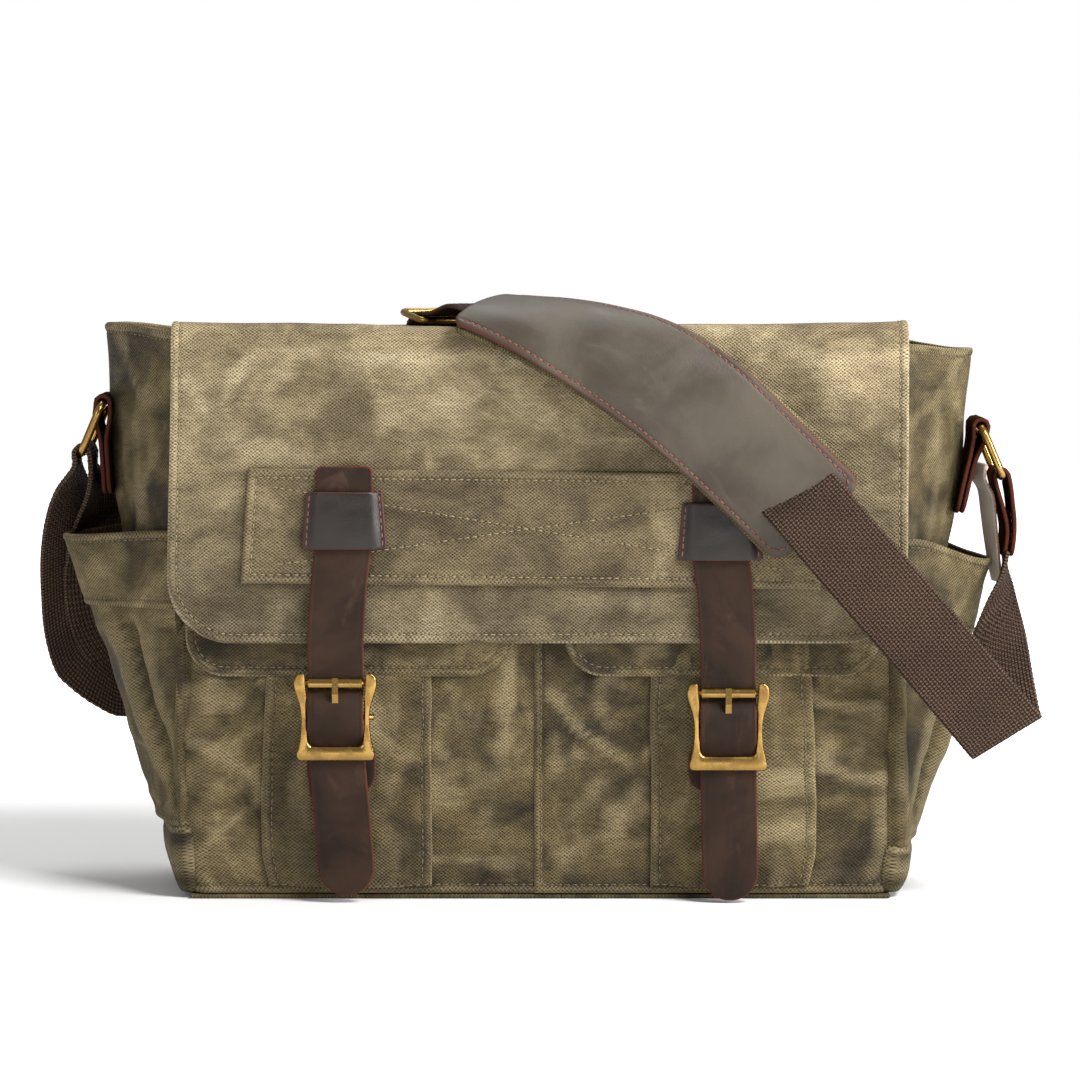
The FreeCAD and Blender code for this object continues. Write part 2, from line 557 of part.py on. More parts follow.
def side_rings():
    """The leather chapes on the side walls and the rings that hang in them."""
    for side in SIDES:
        out, high = "ring_%s_out" % side, "ring_%s_high" % side
        body = prism("ring_chape_" + side, "XZ", mirrored([
            ("side_chape_in", "side_chape_low"), ("side_chape_out", "side_chape_low"),
            (out + " + neck_out", high + " - neck_out_drop"), (out + " - neck_in", high + " + neck_in_rise"),
        ], side), "-side_chape_half", "side_chape_half")
        center = "%d * %s" % (SIDES[side], out)
        pad_outline(body, "XZ", (center, high, "loop_out"), "-side_chape_half", "side_chape_half")
        cut_outline(body, "XZ", (center, high, "loop_in"), "-side_chape_half - spare",
                    "side_chape_half + spare")
        ring = wire_loop("strap_ring_" + side, "ring_half", "ring_drop", "ring_wire", "ring_round")
        ring.Placement = Placement(Vector(value(center), 0, value(high)),
                                   Rotation(Vector(0, 1, 0), -SIDES[side] * value("ring_tilt")))


def strap_tab():
    """The leather tab that joins the webbing to the right ring."""
    tilt = math.radians(value("ring_tilt"))
    across = value("ring_right_out") + value("ring_drop") * math.sin(tilt)
    high = value("ring_right_high") - value("ring_drop") * math.cos(tilt)
    half = "webbing_wide / 2 - tab_narrower"
    body = prism("strap_tab_right", "XZ", [
        ("tab_out - leather - tab_layers_gap", "tab_low"), ("tab_out + leather + tab_layers_gap", "tab_low"),
        ("%s + tab_neck_out" % across, "%s - tab_neck_out_drop" % high),
        ("%s - tab_neck_in" % across, "%s - tab_neck_in_drop" % high),
    ], "-(%s)" % half, half)
    pad_outline(body, "XZ", (across, high, "loop_out"), "-(%s)" % half, half)
    cut_outline(body, "XZ", (across, high, "loop_in"), "-(%s) - spare" % half, half + " + spare")


def slide():
    """The three-bar slide that shortens the strap."""
    body = wire_loop("strap_slide", "slide_half", "slide_long", "slide_wire", "slide_corner")
    pad_outline(body, "XZ", (0, "-slide_long / 2", "slide_wire"), "-slide_half", "slide_half")
    flat = Rotation(Vector(0, 1, 0), 90)
    turned = Rotation(Vector(0, 0, 1), value("slide_turn"))
    place = Vector(-value("slide_left"), value("slide_back"), value("slide_high"))
    body.Placement = Placement(place, turned * flat)


def shoulder_strap():
    """The pad's leather and lining, and the webbing in the stretches that bend at different places."""
    width, leather, under, gap = (value(name) for name in ("pad_wide", "pad_leather", "pad_under", "pad_gap"))
    ribbon("shoulder_pad", shifted(PAD_ROUTE, under / 2 + gap), width, leather)
    narrower = value("pad_wide - pad_under_narrower")
    ribbon("pad_lining", shifted(PAD_ROUTE, -leather / 2 - gap), narrower, under)
    for name, route in (("webbing_front", FRONT_ROUTE), ("webbing_right", RIGHT_ROUTE), ("webbing_top", TOP_ROUTE),
                        ("webbing_back", BACK_ROUTE), ("webbing_left", LEFT_ROUTE)):
        ribbon(name, route, value("webbing_wide"), value("webbing"))
    ribbon("webbing_return", shifted(BACK_ROUTE[1:], value("webbing + webbing_gap")), value("webbing_wide"),
           value("webbing"))


def check_and_write():
    """Stop if anything failed, then write each sub-part to its own file."""
    doc.recompute()
    for item in doc.Objects:
        if "Invalid" in item.State or "Error" in item.State:
            raise RuntimeError("%s failed: %s" % (item.Label, item.State))
    os.makedirs("parts", exist_ok=True)
    for part in parts:
        if part.Shape.isNull() or not part.Shape.isValid():
            raise RuntimeError(part.Label + " has no valid shape")
        part.Shape.exportStep(os.path.join("parts", part.Label + ".step"))
    print("%d parts written" % len(parts))


body_panels()
sides()
inside()
pocket_flaps()
main_flap()
strap_ends()
closing_straps()
buckles()
chapes_and_snaps()
side_rings()
strap_tab()
slide()
shoulder_strap()
check_and_write()
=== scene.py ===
import math
import bpy
import numpy as np
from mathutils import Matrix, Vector


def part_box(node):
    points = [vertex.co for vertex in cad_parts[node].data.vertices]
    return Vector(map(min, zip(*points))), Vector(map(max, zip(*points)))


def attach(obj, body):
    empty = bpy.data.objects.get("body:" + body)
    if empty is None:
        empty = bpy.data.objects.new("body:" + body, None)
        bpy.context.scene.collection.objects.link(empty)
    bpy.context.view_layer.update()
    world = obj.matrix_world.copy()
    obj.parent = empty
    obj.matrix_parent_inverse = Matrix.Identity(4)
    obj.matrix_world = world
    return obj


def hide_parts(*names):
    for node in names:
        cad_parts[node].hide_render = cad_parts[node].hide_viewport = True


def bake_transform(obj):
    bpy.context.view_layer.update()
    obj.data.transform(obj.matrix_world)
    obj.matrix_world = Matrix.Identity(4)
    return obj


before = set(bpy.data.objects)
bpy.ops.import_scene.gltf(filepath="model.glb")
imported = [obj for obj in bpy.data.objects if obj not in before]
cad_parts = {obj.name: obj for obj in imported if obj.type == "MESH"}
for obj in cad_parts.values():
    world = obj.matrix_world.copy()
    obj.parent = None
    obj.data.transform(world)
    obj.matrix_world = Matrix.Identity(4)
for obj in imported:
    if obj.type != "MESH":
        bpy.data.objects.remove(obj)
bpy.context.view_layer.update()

# The visual model of a waxed-canvas messenger bag. Lengths are in millimetres until a mesh is made.
MM = 0.001
SEW = 4.4  # the stitch line's distance from a hemmed edge


def box_mm(node):
    """The lowest and highest corner of a CAD node, in millimetres."""
    low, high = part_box(node)
    return np.array(low) / MM, np.array(high) / MM


# ---- noise
def gradient_noise(x, y, seed):
    """Smooth noise from about -0.7 to 0.7 with one bump to each unit of x and y."""
    draw = np.random.RandomState(seed)
    order = draw.permutation(256)
    turn = draw.rand(256) * 2 * math.pi
    column, row = np.floor(x).astype(int), np.floor(y).astype(int)
    across, up = x - column, y - row

    def corner(right, above):
        angle = turn[order[(order[(column + right) & 255] + row + above) & 255]]
        return np.cos(angle) * (across - right) + np.sin(angle) * (up - above)

    ease_x = across ** 3 * (across * (across * 6 - 15) + 10)
    ease_y = up ** 3 * (up * (up * 6 - 15) + 10)
    low = corner(0, 0) * (1 - ease_x) + corner(1, 0) * ease_x
    high = corner(0, 1) * (1 - ease_x) + corner(1, 1) * ease_x
    return low * (1 - ease_y) + high * ease_y


def layered_noise(x, y, seed, layers=3):
    """Noise with finer and weaker layers on top."""
    total = np.zeros_like(x)
    for layer in range(layers):
        total += gradient_noise(x * 2 ** layer, y * 2 ** layer, seed + layer) / 2 ** layer
    return total


def ridges(x, y, seed):
    """Thin raised creases, 1 on the crease and 0 away from it."""
    return np.clip(1 - np.abs(layered_noise(x, y, seed, 2)) * 7, 0, 1) ** 2


def ease(value, start, end):
    """0 before start and 1 after end, with a smooth step between them."""
    part = np.clip((np.asarray(value, float) - start) / (end - start), 0, 1)
    return part * part * (3 - 2 * part)


def hill(value, top, width):
    """1 at the top, and falling away on both sides of it."""
    return np.exp(-((value - top) / width) ** 2)


def distances(points):
    """How far along a line of points each point lies."""
    return np.concatenate([[0], np.cumsum(np.linalg.norm(np.diff(points, axis=0), axis=1))])


def between(place, places, field):
    """The rows of a field at a place between its own places."""
    return np.stack([np.interp(place, places, column) for column in np.transpose(field)], axis=-1)


# ---- materials
class Nodes:
    """A new material and short ways to add and join its nodes."""

    def __init__(self, name):
        self.material = bpy.data.materials.new(name)
        self.material.use_nodes = True
        self.tree = self.material.node_tree
        self.shader = self.tree.nodes["Principled BSDF"]

    def add(self, kind, inputs=(), **settings):
        node = self.tree.nodes.new(kind)
        for name, setting in settings.items():
            setattr(node, name, setting)
        for key, source in dict(inputs).items():
            self.put(node.inputs[key], source)
        return node

    def put(self, socket, source):
        if isinstance(source, bpy.types.NodeSocket):
            self.tree.links.new(source, socket)
        else:
            socket.default_value = source

    def sum(self, operation, first, second=0.5, third=0.0):
        return self.add("ShaderNodeMath", {0: first, 1: second, 2: third}, operation=operation).outputs[0]

    def step(self, source, start, end, low=0.0, high=1.0):
        inputs = {"Value": source, "From Min": start, "From Max": end, "To Min": low, "To Max": high}
        return self.add("ShaderNodeMapRange", inputs, interpolation_type="SMOOTHSTEP").outputs[0]

    def blend(self, share, first, second, how="MIX"):
        node = self.add("ShaderNodeMix", data_type="RGBA", blend_type=how)
        for index, source in ((0, share), (6, first), (7, second)):
            self.put(node.inputs[index], source)
        return node.outputs[2]

    def noise(self, where, scale, detail=3.0, rough=0.55, bend=0.0):
        inputs = {"Vector": where, "Scale": scale, "Detail": detail, "Roughness": rough, "Distortion": bend}
        return self.add("ShaderNodeTexNoise", inputs).outputs[0]

    def flat(self, stretch=(1, 1, 1), turn=0.0):
        """Places on the flat cloth, in metres."""
        uv = self.add("ShaderNodeUVMap", uv_map="flat").outputs[0]
        inputs = {"Vector": uv, "Rotation": (0, 0, turn), "Scale": stretch}
        return self.add("ShaderNodeMapping", inputs).outputs[0]

    def mark(self, name):
        """A value stored on the mesh."""
        return self.add("ShaderNodeAttribute", attribute_name=name).outputs["Fac"]

    def wave(self, where, pitch, direction):
        """Bands with the given pitch in metres, from 0 to 1."""
        scale = 2 * math.pi / (20 * pitch)
        inputs = {"Vector": where, "Scale": scale}
        return self.add("ShaderNodeTexWave", inputs, bands_direction=direction).outputs["Fac"]

    def bump(self, height, strength, distance, below=None):
        inputs = {"Height": height, "Strength": strength, "Distance": distance}
        if below is not None:
            inputs["Normal"] = below
        return self.add("ShaderNodeBump", inputs).outputs[0]

    def shaded(self, body, amount):
        """A colour made darker or lighter by a value."""
        grey = self.add("ShaderNodeCombineColor", {0: amount, 1: amount, 2: amount}).outputs[0]
        return self.blend(1.0, body, grey, "MULTIPLY")

    def finish(self, **values):
        for name, source in values.items():
            self.put(self.shader.inputs[name.replace("_", " ")], source)
        return self.material


def srgb(red, green, blue, alpha=1.0):
    """A colour from the usual 0 to 255 numbers."""
    parts = []
    for number in (red, green, blue):
        part = number / 255
        parts.append(part / 12.92 if part <= 0.04045 else ((part + 0.055) / 1.055) ** 2.4)
    return (*parts, alpha)


def canvas(name, dark, middle, light, weave=0.00105, rough_weave=1.0, painted_light_grades=None):
    """Waxed canvas: a plain weave with painted shade in its hollows, cloudy wax, pale creases and worn edges;
    with a painted light grade, darker low on the flat cloth and lighter high on it.
    """
    nodes = Nodes(name)
    flat = nodes.flat()
    cloud = nodes.noise(flat, 13.0, 5.0, 0.62, 0.5)
    patch = nodes.noise(nodes.flat((1.0, 1.4, 1.0), 0.5), 30.0, 4.0, 0.6, 0.8)
    tone = nodes.step(nodes.sum("MULTIPLY_ADD", patch, 0.45, nodes.sum("MULTIPLY", cloud, 0.62)), 0.40, 0.66)
    body = nodes.blend(tone, dark, middle)
    streak = nodes.noise(nodes.flat((1.0, 0.3, 1.0), 0.9), 17.0, 1.0, 0.5, 0.1)
    crease = nodes.step(nodes.sum("ABSOLUTE", nodes.sum("SUBTRACT", streak, 0.5)), 0.0, 0.035, 1.0, 0.0)
    where = nodes.step(nodes.noise(flat, 17.0, 2.0), 0.52, 0.68)
    pale = nodes.sum("MULTIPLY", nodes.sum("MULTIPLY", crease, where), 0.2)
    pale = nodes.sum("MAXIMUM", pale, nodes.sum("MULTIPLY", nodes.step(cloud, 0.54, 0.74), 0.75))
    pale = nodes.sum("MAXIMUM", pale, nodes.mark("wear"))
    body = nodes.blend(pale, body, light)
    if painted_light_grades:
        # Painted light and shade: the colour is darker low on the flat cloth and lighter high on it, as the
        # lamps fall.
        height_up = nodes.add("ShaderNodeSeparateXYZ", {"Vector": flat}).outputs["Y"]
        shade = nodes.step(height_up, 0.0, 0.16, *painted_light_grades)
        body = nodes.shaded(body, shade)
    wobble = nodes.noise(flat, 230.0, 2.0)
    shift = nodes.add("ShaderNodeCombineXYZ", {"X": nodes.sum("MULTIPLY", wobble, 0.0011),
                                               "Y": nodes.sum("MULTIPLY", wobble, 0.0009)}).outputs[0]
    moved = nodes.add("ShaderNodeVectorMath", {0: flat, 1: shift}, operation="ADD").outputs[0]
    warp = nodes.sum("SUBTRACT", nodes.wave(moved, weave * 2.0, "X"), 0.5)
    weft = nodes.sum("SUBTRACT", nodes.wave(moved, weave * 1.6, "Y"), 0.5)
    knot = nodes.sum("MULTIPLY_ADD", nodes.sum("MULTIPLY", warp, weft), 2.0, 0.5)
    speck = nodes.noise(nodes.flat((1.0, 1.3, 1.0)), 950.0, 2.0, 0.75)
    slub = nodes.noise(nodes.flat((0.25, 1.0, 1.0)), 520.0, 2.0, 0.6)
    height = nodes.sum("MULTIPLY_ADD", knot, 0.56,
                       nodes.sum("MULTIPLY_ADD", slub, 0.34, nodes.sum("MULTIPLY", speck, 0.62)))
    # Partly yarn tone from slub and speck, partly painted shade that darkens the low hollows between the yarns.
    shade = nodes.step(height, 0.35, 1.02, 1 - 0.86 * rough_weave, 1 + 0.6 * rough_weave)
    body = nodes.shaded(body, shade)
    normal = nodes.bump(height, 0.85 * rough_weave, 0.0006, nodes.bump(patch, 0.45, 0.003))
    rough = nodes.step(tone, 0.0, 1.0, 0.66, 0.9)
    return nodes.finish(Base_Color=body, Roughness=rough, Normal=normal, Specular_IOR_Level=0.2)


def leather(name, dark, middle, rubbed, edge, rough=0.62, shine=0.16):
    """Oiled leather with soft pull-up patches, fine grain and a reddish raw edge."""
    nodes = Nodes(name)
    flat = nodes.flat()
    cloud = nodes.noise(flat, 22.0, 4.0, 0.6, 0.5)
    body = nodes.blend(nodes.step(cloud, 0.35, 0.68), dark, middle)
    scuff = nodes.step(nodes.noise(nodes.flat((1, 0.4, 1), 0.3), 60.0, 4.0, 0.65, 0.8), 0.56, 0.78)
    body = nodes.blend(nodes.sum("MULTIPLY", scuff, 0.55), body, rubbed)
    grain = nodes.add("ShaderNodeTexVoronoi", {"Vector": flat, "Scale": 1100.0}).outputs["Distance"]
    pores = nodes.noise(flat, 1500.0, 2.0, 0.6)
    height = nodes.sum("MULTIPLY_ADD", grain, 0.6, pores)
    scratch = nodes.noise(nodes.flat((1, 0.06, 1), 0.9), 420.0, 2.0)
    line = nodes.step(nodes.sum("ABSOLUTE", nodes.sum("SUBTRACT", scratch, 0.5)), 0.0, 0.012, 0.12, 0.0)
    body = nodes.blend(nodes.sum("MULTIPLY", line, scuff), body, rubbed)
    raw = nodes.sum("MULTIPLY", nodes.mark("wear"), nodes.step(pores, 0.3, 0.6, 0.45, 0.95))
    body = nodes.blend(raw, body, edge)
    normal = nodes.bump(height, 0.22, 0.0003, nodes.bump(cloud, 0.2, 0.0015))
    gloss = nodes.sum("ADD", nodes.step(cloud, 0.3, 0.7, rough - 0.08, rough + 0.08),
                      nodes.sum("MULTIPLY", nodes.mark("wear"), 0.3))
    return nodes.finish(Base_Color=body, Roughness=gloss, Normal=normal, Specular_IOR_Level=shine)


def webbing_cloth(name, dark, light):
    """Coarse cotton webbing: fat yarns in a basket weave, with painted shade that darkens the weave's low
    hollows.
    """
    nodes = Nodes(name)
    flat = nodes.flat()
    wobble = nodes.noise(flat, 300.0, 2.0)
    moved = nodes.add("ShaderNodeVectorMath", {0: flat, 1: nodes.add("ShaderNodeCombineXYZ", {
        "X": nodes.sum("MULTIPLY", wobble, 0.0005), "Y": nodes.sum("MULTIPLY", wobble, 0.0005)}).outputs[0]},
        operation="ADD").outputs[0]
    across = nodes.wave(moved, 0.0034, "X")
    along = nodes.wave(moved, 0.0031, "Y")
    over = nodes.sum("MULTIPLY", nodes.sum("SUBTRACT", across, 0.5), nodes.sum("SUBTRACT", along, 0.5))
    knot = nodes.step(nodes.sum("ABSOLUTE", over), 0.0, 0.19)
    fibre = nodes.noise(nodes.flat((3.0, 1.0, 1.0)), 900.0, 3.0, 0.7)
    height = nodes.sum("MULTIPLY_ADD", fibre, 0.35, knot)
    # Partly fibre tone, partly painted shade: the low hollows of the basket weave are darker.
    body = nodes.blend(nodes.step(height, 0.1, 1.2), dark, light)
    cloud = nodes.step(nodes.noise(flat, 30.0, 3.0), 0.3, 0.7, 0.82, 1.15)
    body = nodes.shaded(body, cloud)
    return nodes.finish(Base_Color=body, Roughness=0.88, Normal=nodes.bump(height, 0.9, 0.0007),
                        Specular_IOR_Level=0.2)


def metal(name, bright, dull, rough=0.34):
    """Antique metal: darker in the hollows, polished where it rubs."""
    nodes = Nodes(name)
    where = nodes.add("ShaderNodeTexCoord").outputs["Object"]
    tarnish = nodes.step(nodes.noise(where, 90.0, 3.0, 0.6, 0.2), 0.36, 0.72)
    fine = nodes.noise(where, 1600.0, 2.0, 0.6)
    edge = nodes.add("ShaderNodeNewGeometry").outputs["Pointiness"]
    polish = nodes.step(edge, 0.48, 0.56)
    body = nodes.blend(nodes.sum("MULTIPLY", tarnish, 0.6), bright, dull)
    body = nodes.blend(nodes.sum("MULTIPLY", polish, 0.5), body, bright)
    gloss = nodes.step(tarnish, 0.0, 1.0, rough - 0.08, rough + 0.12)
    return nodes.finish(Base_Color=body, Roughness=gloss, Metallic=1.0, Normal=nodes.bump(fine, 0.12, 0.0002))


def thread(name, color, shade):
    """Waxed thread with a slight twist."""
    nodes = Nodes(name)
    where = nodes.add("ShaderNodeTexCoord").outputs["Object"]
    mix = nodes.noise(where, 900.0, 3.0, 0.6)
    body = nodes.blend(nodes.step(mix, 0.3, 0.7), shade, color)
    return nodes.finish(Base_Color=body, Roughness=0.7, Normal=nodes.bump(mix, 0.4, 0.0002))


def plain_board(name, color):
    """Pressed fibre board."""
    nodes = Nodes(name)
    where = nodes.add("ShaderNodeTexCoord").outputs["Object"]
    speck = nodes.noise(where, 700.0, 4.0, 0.7)
    body = nodes.blend(nodes.step(speck, 0.3, 0.7), color, srgb(70, 62, 50))
    return nodes.finish(Base_Color=body, Roughness=0.85, Normal=nodes.bump(speck, 0.4, 0.0003))


MATERIALS = {
    # The flap's canvas has painted light: darker towards its lower edge and lighter towards its top.
    "canvas": canvas("canvas", srgb(84, 73, 52), srgb(134, 120, 92), srgb(180, 165, 133), painted_light_grades=(0.58, 1.1)),
    # A darker copy of the canvas for the band across the flap: painted shade.
    "canvas_band": canvas("canvas_band", srgb(58, 49, 33), srgb(100, 88, 65), srgb(140, 126, 97)),
    # A darker copy of the canvas for the front pockets, their pleats and flaps: painted shade for the lower
    # parts under the flap.
    "canvas_low": canvas("canvas_low", srgb(34, 28, 16), srgb(88, 76, 51), srgb(146, 131, 99)),
    # A darker copy of the canvas for the side walls, boots, side pockets and the bottom: painted shade.
    "canvas_dark": canvas("canvas_dark", srgb(38, 31, 19), srgb(86, 75, 50), srgb(138, 124, 93)),
    "lining_cloth": canvas("lining_cloth", srgb(104, 92, 68), srgb(126, 113, 86), srgb(146, 133, 104), 0.0006,
                           0.5),
    "pad_cloth": canvas("pad_cloth", srgb(58, 52, 32), srgb(88, 80, 52), srgb(120, 110, 78)),
    "leather": leather("leather", srgb(31, 20, 13), srgb(51, 35, 25), srgb(80, 59, 45), srgb(96, 44, 33)),
    "leather_pad": leather("leather_pad", srgb(60, 52, 43), srgb(78, 71, 60), srgb(88, 80, 68),
                           srgb(86, 42, 31), 0.5, 0.3),
    "leather_matte": leather("leather_matte", srgb(36, 22, 16), srgb(58, 36, 26), srgb(84, 58, 44),
                             srgb(74, 38, 28), 0.85, 0.0),
    "leather_shiny": leather("leather_shiny", srgb(20, 14, 11), srgb(32, 24, 19), srgb(66, 54, 47),
                             srgb(96, 44, 33), 0.36, 0.4),
    # The flesh side's own pale colour, raised nearly to white as painted light for a strip that faces away from
    # the lamps.
    "leather_flesh_and_painted_light": leather("leather_flesh_and_painted_light", srgb(222, 206, 190), srgb(240, 228, 214), srgb(244, 234, 222),
                             srgb(128, 78, 60), 0.85, 0.0),
    "webbing": webbing_cloth("webbing", srgb(24, 16, 11), srgb(86, 66, 52)),
    "brass": metal("brass", srgb(166, 132, 74), srgb(96, 72, 36), 0.26),
    "snap_metal": metal("snap_metal", srgb(176, 160, 130), srgb(110, 98, 78), 0.3),
    "thread": thread("thread", srgb(150, 134, 98), srgb(96, 84, 56)),
    # A darker copy of the thread for the pockets and sides: painted shade for parts that get less light.
    "thread_painted_shade_low": thread("thread_painted_shade_low", srgb(112, 98, 70), srgb(70, 60, 40)),
    "thread_red": thread("thread_red", srgb(150, 78, 54), srgb(98, 48, 34)),
    # Painted shade: near-black discs that stand in for the shade inside the needle holes.
    "hole": thread("hole", srgb(24, 19, 12), srgb(12, 10, 7)),
    "board": plain_board("board", srgb(40, 36, 30)),
}


# ---- meshes
def new_piece(name, vertices, faces, material, body, replaced=(), uv=None, wear=None):
    """A smooth mesh piece from points in millimetres. body is one body to ride on, or (a, b, start, end), which
    leaves the piece unattached where it stands.
    """
    mesh = bpy.data.meshes.new(name)
    mesh.from_pydata((np.asarray(vertices, float) * MM).tolist(), [], faces)
    mesh.polygons.foreach_set("use_smooth", [True] * len(mesh.polygons))
    if uv is not None:
        layer = mesh.uv_layers.new(name="flat")
        corners = np.empty(len(mesh.loops), int)
        mesh.loops.foreach_get("vertex_index", corners)
        layer.data.foreach_set("uv", (np.asarray(uv, float)[corners] * MM).astype(np.float32).ravel())
    if wear is not None:
        mark = mesh.attributes.new("wear", "FLOAT", "POINT")
        mark.data.foreach_set("value", np.asarray(wear, np.float32))
    mesh.validate()
    mesh.update()
    piece = bpy.data.objects.new(name, mesh)
    bpy.context.scene.collection.objects.link(piece)
    piece.data.materials.append(MATERIALS[material])
    carry(piece, body)
    if replaced:
        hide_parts(*replaced)
    return piece


def carry(piece, body):
    """Ride on one body; given two bodies with a bend, stay unattached where it stands."""
    if isinstance(body, str):
        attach(piece, body)
    else:
        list(body)
        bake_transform(piece)


FINE = [0, 0.3, 0.8, 1.5, 2.4, 3.4, 4.2, 5.0, 6.2, 8.0]
THIN = [0, 0.15, 0.45, 0.9, 1.6, 2.6, 4.0]


def spaced(length, step, fine):
    """Places from 0 to length, close together near both ends."""
    count = max(3, int(round((length - 2 * fine[-1]) / step)) + 1)
    middle = np.linspace(fine[-1], length - fine[-1], count)
    return np.concatenate([fine[:-1], middle, length - np.array(fine[:-1])[::-1]])


def normals_of(grid):
    """The unit normal at each point of a grid of points."""
    up, across = np.gradient(grid, axis=0), np.gradient(grid, axis=1)
    normal = np.cross(across, up)
    return normal / np.maximum(np.linalg.norm(normal, axis=2, keepdims=True), 1e-9)


# Beside a hemmed edge: the fold stands up, the stitch line sinks and the cloth next to it puckers.
HEM_FOLD, HEM_SEWN, HEM_PUCKER = (2.0, 1.4), (4.3, 0.7), (5.0, 3.5)
SEWN_DEPTH, PUCKER_LIFT, PUCKER_SIZE = 0.35, 0.22, 5.5


class Cloth:
    """A sheet of even thickness that follows a surface.

    The surface gives a point for each place (a, b) on the flat cloth: a runs across and b runs up. hems names
    the sides that are folded and sewn: l, r, b and t. low_round and top_round are the radii of the corners.
    """

    def __init__(self, width, height, surface, thick=2.5, step=4.0, hems="", low_round=0.0, top_round=0.0,
                 fine=FINE, rim=None, relief=None, hem_lift=0.45, seed=0, raw=False, shift=(0, 0), blunt=False):
        self.width, self.height = width, height
        self.low_round, self.top_round = low_round, top_round
        self.u, self.v = spaced(width, step, fine), spaced(height, step, fine)
        u, self.b = np.meshgrid(self.u, self.v)
        inset = self.inset(self.b)
        self.a = inset + u / width * (width - 2 * inset)
        rim = rim or min(thick / 2 + 0.4, 1.8)
        sides = {"l": self.a, "r": width - self.a, "b": self.b, "t": height - self.b}
        border = np.minimum(self.a, width - self.a) if blunt else np.minimum.reduce(list(sides.values()))
        for radius, b in ((low_round, self.b), (top_round, height - self.b)):
            if radius:
                side = np.minimum(self.a, width - self.a)
                corner = (side < radius) & (b < radius)
                reach = radius - np.hypot(radius - side, radius - b)
                border = np.where(corner, reach, border)
        border = np.maximum(border, 0)
        outer = (self.b == 0) | (self.b == height) | (u == 0) | (u == width)
        border = np.where(outer, 0, border)
        hem_gap = np.minimum.reduce([sides[key] for key in hems]) if hems else np.full_like(border, 99.0)
        if (low_round or top_round) and ("b" in hems or "t" in hems):
            hem_gap = np.minimum(hem_gap, border)
        half = thick / 2 * np.sqrt(np.clip(1 - (1 - np.clip(border / rim, 0, 1)) ** 2, 0, 1))
        self.lift = np.zeros_like(border)
        if hems:
            rows = gradient_noise(self.a / PUCKER_SIZE, self.b / PUCKER_SIZE, seed + 31)
            self.lift += hem_lift * hill(hem_gap, *HEM_FOLD)
            self.lift -= SEWN_DEPTH * hill(hem_gap, *HEM_SEWN)
            self.lift += PUCKER_LIFT * rows * hill(hem_gap, *HEM_PUCKER)
        if relief is not None:
            self.lift += relief(self.a, self.b)
        self.lift *= np.clip(border / rim, 0, 1)
        middle = surface(self.a, self.b)
        out = normals_of(middle)
        middle = middle + out * self.lift[..., None]
        out = normals_of(middle)
        self.front = middle + out * half[..., None]
        self.back = middle - out * half[..., None]
        self.out = out
        if raw:
            self.wear = hill(border, 0, rim * 0.5)
        else:
            worn = 0.5 * hill(hem_gap, 0, 0.8) if hems else np.zeros_like(border)
            bend = self.lift - blurred(self.lift)
            self.wear = np.clip(worn + np.clip(bend * 0.9, 0, 0.4), 0, 1)
        self.shift = shift

    def inset(self, b):
        """How far each side is pulled in by round corners."""
        b = np.asarray(b, float)
        total = np.zeros_like(b)
        for radius, place in ((self.low_round, b), (self.top_round, self.height - b)):
            if radius:
                reach = np.clip(radius - place, 0, radius)
                total = total + radius - np.sqrt(np.maximum(radius ** 2 - reach ** 2, 0))
        return total

    def spot(self, a, b):
        """The points and normals of the front face at places on the flat cloth."""
        a, b = np.asarray(a, float), np.asarray(b, float)
        inset = self.inset(b)
        u = (a - inset) / np.maximum(self.width - 2 * inset, 1e-6) * self.width
        column = np.interp(u, self.u, np.arange(len(self.u)))
        row = np.interp(b, self.v, np.arange(len(self.v)))
        x0 = np.clip(np.floor(column).astype(int), 0, len(self.u) - 2)
        y0 = np.clip(np.floor(row).astype(int), 0, len(self.v) - 2)
        fx, fy = (column - x0)[..., None], (row - y0)[..., None]
        found = []
        for field in (self.front, self.out):
            low = field[y0, x0] * (1 - fx) + field[y0, x0 + 1] * fx
            high = field[y0 + 1, x0] * (1 - fx) + field[y0 + 1, x0 + 1] * fx
            found.append(low * (1 - fy) + high * fy)
        return found

    def piece(self, name, material, body, replaced=()):
        """The closed mesh: a front and a back that meet at the border."""
        rows, columns = self.front.shape[:2]
        front = np.arange(rows * columns).reshape(rows, columns)
        back = front.copy()
        back[1:-1, 1:-1] = rows * columns + np.arange((rows - 2) * (columns - 2)).reshape(rows - 2, columns - 2)
        vertices = np.concatenate([self.front.reshape(-1, 3), self.back[1:-1, 1:-1].reshape(-1, 3)])
        faces = quads(front) + quads(back[:, ::-1])
        flat = np.stack([self.a + self.shift[0], self.b + self.shift[1]], axis=2)
        uv = np.concatenate([flat.reshape(-1, 2), flat[1:-1, 1:-1].reshape(-1, 2)])
        wear = np.concatenate([self.wear.ravel(), self.wear[1:-1, 1:-1].ravel()])
        return new_piece(name, vertices, faces, material, body, replaced, uv, wear)


def quads(index):
    """The faces of a grid of vertex numbers."""
    corners = [index[:-1, :-1], index[:-1, 1:], index[1:, 1:], index[1:, :-1]]
    return np.stack([corner.ravel() for corner in corners], axis=1).tolist()


def blurred(field, times=6):
    """A smoother copy of a grid of values."""
    for _ in range(times):
        padded = np.pad(field, 1, mode="edge")
        field = (padded[:-2, 1:-1] + padded[2:, 1:-1] + padded[1:-1, :-2] + padded[1:-1, 2:] + field) / 5
    return field


